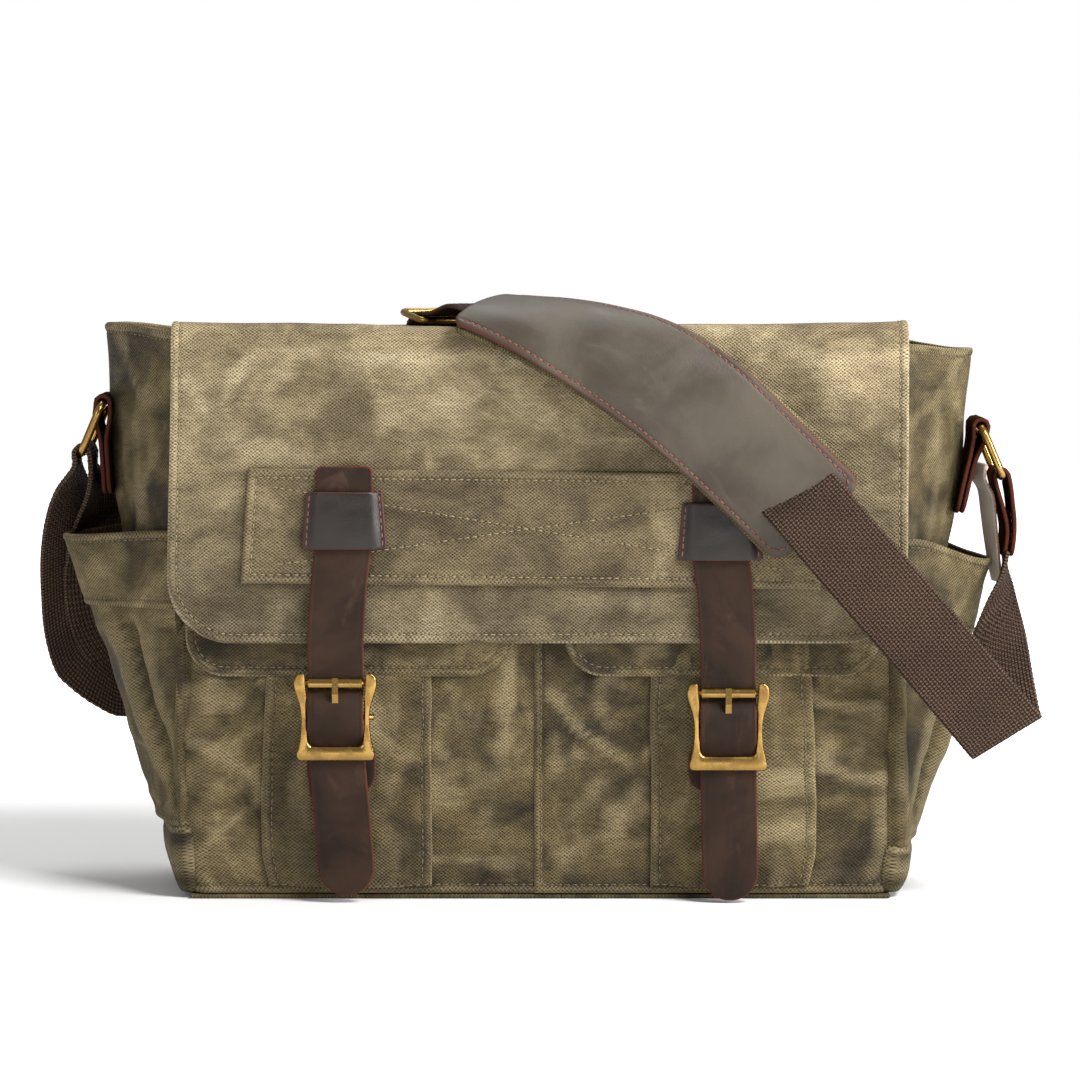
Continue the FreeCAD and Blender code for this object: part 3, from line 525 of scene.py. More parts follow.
# ---- surfaces
def quad_surface(low_left, low_right, top_right, top_left, width, height):
    """A surface between four corners."""
    corners = [np.array(point, float) for point in (low_left, low_right, top_right, top_left)]

    def surface(a, b):
        x, z = (a / width)[..., None], (b / height)[..., None]
        low = corners[0] * (1 - x) + corners[1] * x
        high = corners[3] * (1 - x) + corners[2] * x
        return low * (1 - z) + high * z
    return surface


def smooth_path(points, count=12):
    """A smooth curve through points: count places to each stretch."""
    points = np.array(points, float)
    padded = np.concatenate([[2 * points[0] - points[1]], points, [2 * points[-1] - points[-2]]])
    path = []
    for index in range(len(points) - 1):
        p0, p1, p2, p3 = padded[index:index + 4]
        share = np.linspace(0, 1, count, endpoint=False)[:, None]
        path.append(0.5 * (2 * p1 + (p2 - p0) * share + (2 * p0 - 5 * p1 + 4 * p2 - p3) * share ** 2
                           + (3 * p1 - p0 - 3 * p2 + p3) * share ** 3))
    return np.concatenate(path + [points[-1:]])


class Route:
    """A middle line with its own face direction, measured along its length."""

    def __init__(self, points, faces):
        joined = smooth_path(np.hstack([np.array(points, float), np.array(faces, float)]))
        self.points, faces = joined[:, :3], joined[:, 3:]
        self.places = distances(self.points)
        self.length = self.places[-1]
        along = np.gradient(self.points, self.places, axis=0)
        across = np.cross(along, faces)
        self.across = across / np.linalg.norm(across, axis=1, keepdims=True)
        self.along = along / np.linalg.norm(along, axis=1, keepdims=True)

    def surface(self, width):
        """The surface of a strip of this width."""
        def surface(a, b):
            offset = a - width / 2
            past = np.minimum(b, 0) + np.maximum(b - self.length, 0)
            middle, across, along = (between(b, self.places, field)
                                     for field in (self.points, self.across, self.along))
            return middle + across * offset[..., None] + along * past[..., None]
        return surface


class EdgeStrip:
    """A strip between two edge lines that are given by matching points."""

    def __init__(self, first, second, width, count=10):
        self.first, self.second, self.width = smooth_path(first, count), smooth_path(second, count), width
        middle = (self.first + self.second) / 2
        self.places = distances(middle)
        self.length = self.places[-1]

    def surface(self, a, b):
        share = (a / self.width)[..., None]
        return (between(b, self.places, self.first) * (1 - share)
                + between(b, self.places, self.second) * share)


# ---- stitches
class Stitches:
    """Many short threads in one mesh, with dark discs of painted shade sunk in the needle holes between them.
    """

    SIDES, HOLE_SIDES, HOLE_RADIUS = 5, 6, 0.36

    def __init__(self, pitch=3.7, length=2.7, radius=0.36):
        self.pitch, self.length, self.radius = pitch, length, radius
        self.threads, self.holes = [], []

    def run(self, cloth, corners, lift=0.05):
        """Stitch along straight lines between places on a cloth."""
        corners = np.array(corners, float)
        places = distances(corners)
        count = max(1, int(places[-1] / self.pitch))
        pitch = places[-1] / count
        length = self.length * pitch / self.pitch
        centers = (np.arange(count) + 0.5) * pitch
        ends = []
        for offset in (-0.5, 0.0, 0.5):
            place = centers + offset * length
            spot, out = cloth.spot(np.interp(place, places, corners[:, 0]),
                                   np.interp(place, places, corners[:, 1]))
            rise = lift + (0.18 if offset == 0 else -0.12)
            ends.append(spot + out * rise)
        holes = centers + pitch / 2
        hole, out = cloth.spot(np.interp(holes, places, corners[:, 0]), np.interp(holes, places, corners[:, 1]))
        self.threads.append(np.stack(ends + [out], axis=1))
        self.holes.append(np.stack([hole - out * 0.12, out], axis=1))

    def pieces(self, name, material, body):
        """The threads, and the painted shade of the needle holes, as two pieces."""
        threads = np.concatenate(self.threads)
        vertices, faces = [], []
        for start, middle, end, out in threads:
            along = (end - start) / max(np.linalg.norm(end - start), 1e-6)
            side = np.cross(along, out)
            side /= max(np.linalg.norm(side), 1e-6)
            first = len(vertices)
            vertices.append(start)
            for center, size in ((start * 0.8 + middle * 0.2, 0.8), (middle, 1.0),
                                 (end * 0.8 + middle * 0.2, 0.8)):
                for corner in range(self.SIDES):
                    angle = corner * 2 * math.pi / self.SIDES
                    reach = side * math.cos(angle) + out * math.sin(angle) * 0.8
                    vertices.append(center + reach * self.radius * size)
            vertices.append(end)
            rings = [[first + 1 + ring * self.SIDES + corner for corner in range(self.SIDES)]
                     for ring in range(3)]
            for corner in range(self.SIDES):
                following = (corner + 1) % self.SIDES
                faces.append([first, rings[0][following], rings[0][corner]])
                for ring in range(2):
                    faces.append([rings[ring][corner], rings[ring][following], rings[ring + 1][following],
                                  rings[ring + 1][corner]])
                faces.append([rings[2][corner], rings[2][following], len(vertices) - 1])
        new_piece(name, vertices, faces, material, body)
        # Small dark discs of painted shade, sunk just below the cloth at the needle holes.
        holes = np.concatenate(self.holes)
        vertices, faces = [], []
        for center, out in holes:
            side = np.cross(out, [0.31, 0.17, 0.93])
            side /= np.linalg.norm(side)
            other = np.cross(out, side)
            first = len(vertices)
            for drop in (0.2, -0.5):
                for corner in range(self.HOLE_SIDES):
                    angle = math.pi / 3 * corner
                    reach = side * math.cos(angle) + other * math.sin(angle)
                    vertices.append(center + reach * self.HOLE_RADIUS + out * drop)
            top = list(range(first, first + self.HOLE_SIDES))
            low = [number + self.HOLE_SIDES for number in top]
            faces += [top, low[::-1]]
            for corner in range(self.HOLE_SIDES):
                following = (corner + 1) % self.HOLE_SIDES
                faces.append([low[corner], low[following], top[following], top[corner]])
        new_piece(name + "_holes", vertices, faces, "hole", body)


def border_run(cloth, gap, sides, round_low=0.0):
    """Corners of a stitch line that keeps a gap from the named sides, in order round the cloth."""
    width, height, radius = cloth.width, cloth.height, max(round_low - gap, 0)
    turn = [math.pi / 2 * share for share in (0, 0.2, 0.4, 0.6, 0.8, 1.0)]
    left, right, low, top = gap, width - gap, gap, height - gap
    run = []
    if "l" in sides:
        run.append((left, top if "t" in sides else height - 0.5))
    if round_low:
        run += [(left + radius * (1 - math.cos(a)), low + radius * (1 - math.sin(a))) for a in turn]
        run += [(right - radius * (1 - math.cos(a)), low + radius * (1 - math.sin(a))) for a in turn[::-1]]
    else:
        run += [(left, low), (right, low)]
    if "r" in sides:
        run.append((right, top if "t" in sides else height - 0.5))
    if "t" in sides:
        run.append((left, top))
    return run


# ---- main flap
FLAP_LOW, FLAP_HIGH = box_mm("flap_front")
TOP_HIGH = box_mm("flap_top")[1]
FLAP_FACE_Y = (FLAP_LOW[1] + FLAP_HIGH[1]) / 2
FLAP_TOP_Z = 287.0
REAR_TOP_Z = 283.0
FLAP_TURN = 9.0
REAR_SEAM_Y = 46.0
BACK_BEND_Y = 0.0625
BACK_BEND = ("root", "flap_top", (0, BACK_BEND_Y, (REAR_TOP_Z - 10) * MM), (0, BACK_BEND_Y, REAR_TOP_Z * MM))
UNFOLD = ("flap_top", "flap_front", (0, (FLAP_FACE_Y + 13) * MM, (FLAP_TOP_Z + 1) * MM),
          (0, (FLAP_FACE_Y - 1) * MM, (FLAP_TOP_Z - 14) * MM))


def flap_profile():
    """The flap from its lower edge up the front, round the turn and back over the top."""
    turn_z, turn_y = FLAP_TOP_Z - FLAP_TURN, FLAP_FACE_Y + FLAP_TURN
    points = [(FLAP_FACE_Y, FLAP_LOW[2] - 4.0), (FLAP_FACE_Y, turn_z)]
    for share in np.linspace(0, 1, 9)[1:]:
        angle = share * math.pi / 2
        points.append((turn_y - FLAP_TURN * math.cos(angle), turn_z + FLAP_TURN * math.sin(angle)))
    points.append((REAR_SEAM_Y, REAR_TOP_Z))
    return np.array(points)


class Profile:
    """A curve in the YZ plane that a sheet lies along, measured from its first point."""

    def __init__(self, points):
        self.points = np.array(points, float)
        self.places = distances(self.points)
        self.length = self.places[-1]

    def at(self, place):
        past = np.minimum(place, 0)
        first = self.points[1] - self.points[0]
        first = first / np.linalg.norm(first)
        beyond = np.maximum(place - self.length, 0)
        last = self.points[-1] - self.points[-2]
        last = last / np.linalg.norm(last)
        y = np.interp(place, self.places, self.points[:, 0]) + past * first[0] + beyond * last[0]
        z = np.interp(place, self.places, self.points[:, 1]) + past * first[1] + beyond * last[1]
        return y, z


def main_flap():
    """The flap is one sheet from near the back seam to its lower edge, hemmed and sewn all round."""
    profile = Profile(flap_profile())
    left, right, top_half = FLAP_LOW[0], FLAP_HIGH[0], TOP_HIGH[0]
    width = right - left

    def surface(a, b):
        y, z = profile.at(b)
        flare = ease(b, 20, 150)
        side = left + (-top_half - left) * flare
        x = side + a / width * (right - side)
        return np.stack([x, y, z], axis=-1)

    def relief(a, b):
        calm = 1 - ease(b, 16, 30) * (1 - ease(b, 86, 104))
        front = 1 - ease(b, profile.length - 130, profile.length - 118)
        soft = layered_noise(a / 85, b / 60, 3) * 3.4
        fold = ridges(a / 120 + b / 190, b / 120 - a / 260, 8) * 0.55 + ridges(a / 90, b / 140, 21) * 0.35
        sag = 3.2 * hill(a, 180, 75) * (1 - front)
        return (soft * (0.25 + 0.75 * calm) + fold * (0.15 + 0.85 * calm)) * (0.35 + 0.65 * front) - 0.6 - sag

    flap = Cloth(width, profile.length, surface, thick=2.6, step=3.0, hems="lrb", low_round=32, relief=relief,
                 seed=5, shift=(0, 0))
    flap.piece("main_flap", "canvas", UNFOLD, ["flap_top", "flap_front"])
    seam = Stitches()
    seam.run(flap, border_run(flap, SEW, "lr", 32))
    seam.pieces("main_flap_stitches", "thread", UNFOLD)


def flap_rear():
    """The cloth that turns down behind and is sewn to the back panel."""
    strip_low, strip_high = box_mm("flap_seam_strip")
    back_y = (strip_low[1] + strip_high[1]) / 2 + 0.3
    turn = 7.0
    points = [(back_y, strip_low[2] + 1), (back_y, REAR_TOP_Z - turn)]
    for share in np.linspace(0, 1, 8)[1:]:
        angle = share * math.pi / 2
        points.append((back_y - turn + turn * math.cos(angle), REAR_TOP_Z - turn + turn * math.sin(angle)))
    points.append((REAR_SEAM_Y - 1.0, REAR_TOP_Z))
    profile = Profile(points)
    half = TOP_HIGH[0]

    def surface(a, b):
        y, z = profile.at(b)
        return np.stack([half - a, y, z], axis=-1)

    def relief(a, b):
        return layered_noise(a / 60, b / 50, 44) * 0.8

    rear = Cloth(half * 2, profile.length, surface, thick=2.5, step=4.0, hems="lrb", relief=relief, seed=9,
                 shift=(600, 0))
    rear.piece("flap_rear", "canvas", BACK_BEND, ["flap_seam_strip"])
    seam = Stitches()
    seam.run(rear, [(4, SEW), (half * 2 - 4, SEW)])
    seam.run(rear, [(4, 10.5), (half * 2 - 4, 10.5)])
    seam.pieces("flap_rear_stitches", "thread", BACK_BEND)


def flap_band():
    """The band across the flap, sewn all round and with a long shallow cross."""
    low, high = box_mm("flap_band")
    width, height = high[0] - low[0], high[2] - low[2]
    face = low[1] + 0.9

    def surface(a, b):
        lean = (1 - b / height) * 4.0 * (1 - ease(a, 0, 40))
        x = low[0] + 4.0 - lean + a * (width - 4.0) / width
        z = low[2] + b - 3.0 * a / width
        return np.stack([x, np.full_like(a, face), z], axis=-1)

    def relief(a, b):
        return layered_noise(a / 50, b / 30, 12) * 0.7 - 0.2

    band = Cloth(width, height, surface, thick=2.4, step=3.0, hems="lrbt", relief=relief, seed=13,
                 shift=(900, 300), hem_lift=0.5)
    band.piece("flap_band_cloth", "canvas_band", "flap_front", ["flap_band"])
    seam = Stitches()
    seam.run(band, border_run(band, SEW, "lrt") + [(SEW, SEW)])
    middle = (0.49 * width, height * 0.50)
    for start, end in (((12, height - 9), middle), ((16, 9.5), middle),
                       (middle, (width - 12, height - 9)), (middle, (width - 18, 9.5))):
        seam.run(band, [start, end])
    seam.pieces("flap_band_stitches", "thread", "flap_front")


# ---- body panels
def panel(name, replaced, corners, hems="", relief=None, seed=0, shift=(0, 0), thick=2.3, step=5.0,
          material="canvas", body="root", bow=None, **extra):
    """A flat panel between four corners. bow moves its places aside."""
    corners = [np.array(point, float) for point in corners]
    width = np.linalg.norm(corners[1] - corners[0])
    height = np.linalg.norm(corners[3] - corners[0])
    flat = quad_surface(*corners, width, height)

    def surface(a, b):
        return flat(a, b) if bow is None else bow(flat(a, b))
    sheet = Cloth(width, height, surface, thick=thick, step=step, hems=hems, relief=relief, seed=seed,
                  shift=shift,
                  **extra)
    sheet.piece(name, material, body, replaced)
    return sheet


def belly(places):
    """The lower half of the bag is wider than its base."""
    x, z = places[..., 0], places[..., 2]
    wide = 7.0 * ease(z, 0, 26) * (1 - ease(z, 40, 165)) * ease(np.abs(x), 60, 178)
    edge = ease(np.abs(x), 150, 178)
    round_low = 3.6 * np.clip(1 - (z - 2.8) / 12, 0, 1) ** 2 * edge
    reach = np.abs(x) + wide - round_low
    reach = np.minimum(reach, 180) + np.maximum(reach - 180, 0) * 0.3
    places[..., 0] = np.sign(x) * reach
    places[..., 1] += 9.0 * ease(np.abs(x), 166, 181)
    return places


def soft_relief(seed, size=60.0, amount=1.5, fold=0.8):
    """Gentle waves and a few creases."""
    def relief(a, b):
        return (layered_noise(a / size, b / size, seed) * amount
                + ridges(a / (size * 3) + b / 300, b / (size * 3.5), seed + 5) * fold)
    return relief


def back_and_base():
    """The back panel, the wall behind the front pockets, the base and the board."""
    low, high = box_mm("back_panel")
    y, top = (low[1] + high[1]) / 2, REAR_TOP_Z - 4
    sheet = panel("back_panel_cloth", ["back_panel"], [(178, y, low[2]), (-178, y, low[2]), (-high[0], y, top),
                  (high[0], y, top)], hems="t", seed=51, relief=soft_relief(52, 95, 4.0, 1.0),
                  shift=(100, 1200))
    seam = Stitches()
    for a in (4.5, sheet.width - 4.5):
        seam.run(sheet, [(a, 6), (a, sheet.height - 30)])
    for b in (5, 11):
        seam.run(sheet, [(5, b), (sheet.width - 5, b)])
    seam.pieces("back_stitches", "thread", "root")
    low, high = box_mm("front_panel")
    y = (low[1] + high[1]) / 2
    panel("front_panel_cloth", ["front_panel"], [(-172.4, y, low[2]), (172.4, y, low[2]), (high[0], y, 276),
          (low[0], y, 276)], hems="t", seed=61, relief=soft_relief(62, 70, 1.0, 0.5), shift=(700, 1200))
    low, high = box_mm("bottom_panel")
    z = (low[2] + high[2]) / 2
    panel("bottom_cloth", ["bottom_panel"], [(low[0], low[1], z), (low[0], high[1], z), (high[0], high[1], z),
          (high[0], low[1], z)], seed=71, thick=2.4, shift=(300, 1700), material="canvas_dark")
    low, high = box_mm("base_board")
    z = (low[2] + high[2]) / 2
    panel("base_board_panel", ["base_board"], [(low[0], low[1], z), (high[0], low[1], z), (high[0], high[1], z),
          (low[0], high[1], z)], thick=high[2] - low[2], material="board")


def plan_surface(low_plan, high_plan, low_z, high_z, width, height, side, blur=0.05, drops=(0, 0)):
    """A wall that follows a bent line in plan, from one height to another. drops lower its outermost line."""
    low_plan, high_plan = np.array(low_plan, float), np.array(high_plan, float)
    middle = (low_plan + high_plan) / 2
    places = distances(middle)
    places /= places[-1]

    def surface(a, b):
        share = a / width if side > 0 else 1 - a / width
        up = b / height
        x, y = np.zeros_like(a), np.zeros_like(a)
        reach = np.minimum(np.minimum(share, 1 - share), blur).clip(0)
        for offset in (-1, -0.5, 0, 0.5, 1):
            at = share + offset * reach
            x += (np.interp(at, places, low_plan[:, 0]) * (1 - up)
                  + np.interp(at, places, high_plan[:, 0]) * up) / 5
            y += (np.interp(at, places, low_plan[:, 1]) * (1 - up)
                  + np.interp(at, places, high_plan[:, 1]) * up) / 5
        outward = 1 - ease(np.abs(y), 12, 57)
        z = low_z + up * (high_z - low_z) - (drops[0] * (1 - up) + drops[1] * up) * outward
        return np.stack([side * x, y, z], axis=-1)
    return surface


def plan_length(plan):
    return np.linalg.norm(np.diff(np.array(plan, float), axis=0), axis=1).sum()


def wall(name, replaced, low_plan, high_plan, low_z, high_z, side, blur=0.05, thick=2.4, step=4.0,
         material="canvas_dark", drops=(0, 0), **extra):
    """One wall of the side, sewn from cloth."""
    inner = [[(x - thick / 2, y) for x, y in plan] for plan in (low_plan, high_plan)]
    width = (plan_length(low_plan) + plan_length(high_plan)) / 2
    height = math.hypot(high_z - low_z, (max(x for x, y in high_plan) - max(x for x, y in low_plan)))
    surface = plan_surface(*inner, low_z, high_z, width, height, side, blur, drops)
    sheet = Cloth(width, height, surface, thick=thick, step=step, **extra)
    sheet.piece(name, material, "root", replaced)
    return sheet


SIDES = {"left": -1, "right": 1}
TUCK_Y = -54.0  # where the side walls end behind the front pockets
RIM_OUT = {"left": 242.0, "right": 229.0}


def sides():
    """The folded side walls, the boots round their lower ends and the bellows pockets with their bands."""
    for side, sign in SIDES.items():
        seed = 100 if sign < 0 else 200
        base = [(172, TUCK_Y), (179, -58.0), (185, 0), (178, 57)]
        boot = [(175, TUCK_Y), (182, -58.0), (192 if sign < 0 else 188, 0), (182, 57)]
        top = [(174, TUCK_Y), (181, -57.8), (221 if sign < 0 else 222, 0), (184, 57)]
        top_z = 283.0 if sign < 0 else 277.0
        boot_z = 36.0 if sign < 0 else 26.0
        top_drop, rim_drop, seam_drop = (-3.5, 4.5, 1.0) if sign < 0 else (3.5, 13.0, 12.0)
        sink = 0.0 if sign < 0 else 4.0
        seam = Stitches()
        wall("boot_cloth_" + side, ["boot_" + side], base, boot, 2.8, boot_z, sign, hems="t", seed=seed,
             relief=lambda a, b: 4.0 * np.sin(np.clip(b / boot_z, 0, 1) * math.pi) ** 0.8,
             shift=(seed * 3, 2000))

        def dent(a, b, seed=seed, sign=sign):
            full = 6.5 * hill(b, 165, 60) if sign < 0 else 2.0 * hill(b, 190, 40)
            full = full * ease(a, 14, 48) * (1 - ease(a, 92, 122))
            return (layered_noise(a / 45, b / 70, seed + 2) * 2.6
                    + ridges(a / 90, b / 150, seed + 4) * 0.8 + full)
        gusset = wall("gusset_cloth_" + side, ["gusset_" + side], boot, top, boot_z - 1, top_z, sign, hems="t",
                      seed=seed + 1, drops=(0, top_drop), relief=dent, shift=(seed * 3, 2200), blur=0.02)
        seam.run(gusset, [(4, gusset.height - SEW), (gusset.width - 4, gusset.height - SEW)])
        out = RIM_OUT[side]
        wide = 195.5 if sign < 0 else 191.5
        low_plan = [(175, TUCK_Y), (182.6, -58.2), (wide, -12), (wide, 14), (183.7, 57)]
        share = (146 - 34) / (184 - 34)
        rim_plan = [(175, TUCK_Y), (182.4, -57.8), (out, -12), (out, 14), (185.4, 57)]
        seam_plan = [tuple(np.array(a) * (1 - share) + np.array(b) * share) for a, b in zip(low_plan, rim_plan)]

        def bellows(a, b, seed=seed, sign=sign, width=plan_length(seam_plan)):
            front = a if sign > 0 else width - a
            fold = 25 + (b / 108.0) * 36.0
            groove = -6.5 * hill(front, fold, 5.0) * ease(b, 4, 40)
            lip = 3.2 * hill(front - fold, 12, 8.0) * ease(b, 2, 60)
            bulge = 4.0 * hill(b, 66, 34) * hill(front, 45, 20)
            soft = layered_noise(a / 40, b / 55, seed + 7) * 3.4 + ridges(a / 160, b / 130, seed + 8) * 1.0
            pinch = (ease(b, 0, 14) * (1 - ease(b, 98, 110) * 0.8)
                     * ease(front, 0, 8) * ease(width - front, 0, 8))
            return (groove + lip + bulge + soft) * pinch
        pocket = wall("side_pocket_cloth_" + side, ["side_pocket_" + side], low_plan, seam_plan, boot_z - 0.5,
                      147 - sink, sign, drops=(0, seam_drop), hems="b", seed=seed + 5, relief=bellows,
                      shift=(seed * 3 + 30, 2600), step=3.0)
        seam.run(pocket, [(4, SEW), (pocket.width - 4, SEW)])
        proud = 1.2
        band_low = [(x + proud, y) for x, y in seam_plan]
        band_high = [(x + proud, y) for x, y in rim_plan]

        def slack(a, b, seed=seed):
            return layered_noise(a / 38, b / 40, seed + 12) * 1.6 * ease(b, 2, 12)
        band = wall("side_band_cloth_" + side, ["side_pocket_band_" + side], band_low, band_high, 144.5 - sink,
                    184 - sink, sign, drops=(seam_drop, rim_drop), hems="tb", seed=seed + 9, relief=slack,
                    shift=(seed * 3 + 60, 2800), step=3.0, hem_lift=0.6)
        for b in (SEW, band.height - SEW):
            seam.run(band, [(3, b), (band.width - 3, b)])
        seam.pieces("side_stitches_" + side, "thread_painted_shade_low", "root")


POCKET_LOW, POCKET_TOP = 2.8, 166


def front_pockets():
    """The two pocket fronts, each with a box pleat, their divider, and the flaps that cover them."""
    low, high = box_mm("front_pocket_panel_right")
    face = (low[1] + high[1]) / 2
    for side, sign in SIDES.items():
        seed = 300 if sign < 0 else 400
        pleat_low, pleat_high = box_mm("pocket_pleat_" + side)
        left, right, left_y = (-181.0, 0.2, face) if sign < 0 else (-3.0, 181.0, face - 0.8)
        corners = [(left, left_y, POCKET_LOW), (right, face, POCKET_LOW), (right, face, POCKET_TOP),
                   (left, left_y, POCKET_TOP)]

        def bulge(a, b, seed=seed):
            body = np.sin(np.clip(b / 163, 0, 1) * math.pi) ** 0.7
            soft = layered_noise(a / 48, b / 52, seed) * 4.2 + 1.6
            fold = ridges(a / 150 + b / 200, b / 120 - a / 220, seed + 3) * 1.8
            pinned = ease(a, 0, 14) * ease(174 - a, 0, 10)
            return (soft + fold) * body * pinned
        sheet = panel("front_pocket_cloth_" + side, ["front_pocket_panel_" + side], corners, seed=seed + 1,
                      hems="b" if sign < 0 else "bl", relief=bulge, shift=(sign * 400, 3200), step=3.0,
                      material="canvas_low", bow=belly)
        pleat_left, pleat_right = pleat_low[0] - left, pleat_high[0] - left
        wide, tall = pleat_right - pleat_left, pleat_high[2] - 4.0

        def on_pocket(a, b, sheet=sheet, pleat_left=pleat_left):
            spot, out = sheet.spot(a + pleat_left, b + 3.0)
            return spot + out * 1.3

        def puff(a, b, seed=seed, wide=wide):
            full = layered_noise(a / 30, b / 60, seed + 21) * 1.2 + 1.1
            return full * ease(a, 4, 20) * ease(wide - a, 4, 20)
        pleat = Cloth(wide, tall, on_pocket, thick=2.2, step=3.2, hems="lr", relief=puff, seed=seed + 22,
                      shift=(sign * 400 + 30, 3500), hem_lift=0.2)
        pleat.piece("pocket_pleat_cloth_" + side, "canvas_low", "root", ["pocket_pleat_" + side])
        seam = Stitches()
        if sign > 0:
            seam.run(sheet, [(3.2, 5), (3.2, sheet.height - 4)])
        for a in (5.0, wide - 5.0):
            seam.run(pleat, [(a, 4), (a, tall - 4)])
        seam.run(sheet, [(3, SEW), (pleat_left - 1, SEW)])
        seam.run(sheet, [(pleat_right + 1, SEW), (sheet.width - 3, SEW)])
        seam.run(pleat, [(1.5, 2.2), (wide - 1.5, 2.2)])
        seam.pieces("front_pocket_stitches_" + side, "thread_painted_shade_low", "root")
        pocket_flap(side, sign, seed)
    low, high = box_mm("pocket_divider")
    panel("pocket_divider_cloth", ["pocket_divider"], [(0, low[1], low[2]), (0, high[1], low[2]),
          (0, high[1], high[2] - 1), (0, low[1], high[2] - 1)], seed=31, shift=(0, 3900))


def pocket_flap(side, sign, seed):
    """The flap of one front pocket, sewn to the wall behind the pocket."""
    low, high = box_mm("pocket_flap_" + side)
    profile = Profile([(-64.2, low[2]), (-64.4, 166), (-63.6, 170.5), (-61.5, 172.6), (-58, 173.2),
                       (-47.6, 173.4)])
    width = high[0] - low[0]

    def surface(a, b):
        y, z = profile.at(b)
        return np.stack([low[0] + a, y, z], axis=-1)

    def relief(a, b):
        return layered_noise(a / 45, b / 40, seed + 31) * 2.0 * (1 - ease(b, 40, 58)) - 0.3
    bend = ("root", "pocket_flap_" + side, (0, -0.0475, 0.1725), (0, -0.059, 0.1725))
    flap = Cloth(width, profile.length, surface, thick=2.4, step=3.4, hems="lrb", low_round=20, relief=relief,
                 seed=seed + 32, shift=(sign * 500, 4100))
    flap.piece("pocket_flap_cloth_" + side, "canvas_low", bend, ["pocket_flap_" + side])
    seam = Stitches()
    seam.run(flap, border_run(flap, 4.6, "lr", 20))
    seam.pieces("pocket_flap_stitches_" + side, "thread_painted_shade_low", bend)


def inside():
    """The lining that hangs in the body, and the padded sleeve."""
    low = [(169.3, -41.0), (174.9, 0), (174.9, 55.5), (0, 55.5)]
    high = [(178.4, -41.0), (209.5, 0), (178.4, 55.5), (0, 55.5)]

    def ring(plan):
        right = plan[::-1]
        return np.array(right + [(-x, y) for x, y in plan], float)
    low_ring, high_ring = ring(low), ring(high)
    places = distances(low_ring)
    width, height = places[-1], 262.0

    def surface(a, b):
        up = (b / height)[..., None]
        plan = between(a, places, low_ring) * (1 - up) + between(a, places, high_ring) * up
        return np.concatenate([plan, 5.6 + up * height], axis=-1)
    walls = Cloth(width, height, surface, thick=0.8, step=7.0, hems="t", fine=THIN, seed=81,
                  relief=lambda a, b: layered_noise(a / 70, b / 80, 82) * 0.8 - 0.4, shift=(0, 5000),
                  hem_lift=0.2)
    walls.piece("lining_walls", "lining_cloth", "root", ["lining"])
    panel("lining_floor", [], [(-170, -41, 6.0), (170, -41, 6.0), (174, 55.5, 6.0), (-174, 55.5, 6.0)],
          thick=0.8,
          step=8.0, seed=83, material="lining_cloth", shift=(0, 5600), fine=THIN)
    low, high = box_mm("laptop_sleeve")
    y = (low[1] + high[1]) / 2
    sleeve = panel("laptop_sleeve_pad", ["laptop_sleeve"],
                   [(-160, y, low[2]), (160, y, low[2]), (160, y, high[2]),
                   (-160, y, high[2])], thick=5.6, rim=3.4, step=5.0, seed=85, material="lining_cloth",
                   hems="t", relief=lambda a, b: layered_noise(a / 60, b / 60, 86) * 0.6, shift=(0, 6200))
    seam = Stitches()
    seam.run(sleeve, [(6, sleeve.height - 6), (314, sleeve.height - 6)])
    seam.pieces("laptop_sleeve_stitches", "thread", "root")


# ---- leather straps and hardware
STRAP_WIDE = 27.8
STRAP_Y = -74.4  # the middle of a strap that lies on the flap
STRAP_AT = {"left": -101.0, "right": 93.0}
ANCHOR_AT = {"left": -96.5, "right": 89.0}
KEEPER_LOW = {"left": 176.0, "right": 170.5}
ROLLER_Z = {"left": 110.0, "right": 105.0}
TIP_Z = {"left": 4.0, "right": 1.4}


def closing_strap(side):
    """One leather strap, from its sewn end behind the keeper, through the buckle, to its round tip."""
    roller, center, anchor = ROLLER_Z[side], STRAP_AT[side], ANCHOR_AT[side]
    tip, hinge = TIP_Z[side], KEEPER_LOW[side] - 1.6
    lean = 6.0 if side == "left" else 1.5
    line = [(center + lean, -74.6, tip), (center + lean * 0.78, -74.6, 22), (center + lean * 0.52, -75.0, 42),
            (center + lean * 0.24, -75.4, 62),
            (center, -76.0, roller - 31), (center, -81.0, roller - 22), (center, -81.9, roller - 15),
            (center, -80.2, roller - 8.5), (center, -75.4, roller - 2.5), (center, -74.2, roller + 8),
            (center, STRAP_Y, roller + 22), (center * 0.6 + anchor * 0.4, -74.5, roller + 50),
            (anchor, STRAP_Y, hinge + 8), (anchor, STRAP_Y, 217)]
    route = Route(line, [(0, -1, 0)] * len(line))
    seed = 500 if side == "left" else 520

    def relief(a, b):
        edge = np.minimum(a, STRAP_WIDE - a)
        return layered_noise(a / 18, b / 30, seed) * 0.25 - 0.35 * hill(edge, 2.0, 0.5)
    strap = Cloth(STRAP_WIDE, route.length, route.surface(STRAP_WIDE), thick=2.3, step=2.5, low_round=13.6,
                  top_round=3.0, fine=THIN, rim=0.9, relief=relief, raw=True, shift=(seed * 2, 0))
    bend = ("flap_front", "closure_" + side, (0, -0.0744, (hinge + 3) * MM), (0, -0.0744, (hinge - 6) * MM))
    strap.piece("closure_strap_leather_" + side, "leather", bend,
                ["closure_strap_" + side, "strap_anchor_" + side])


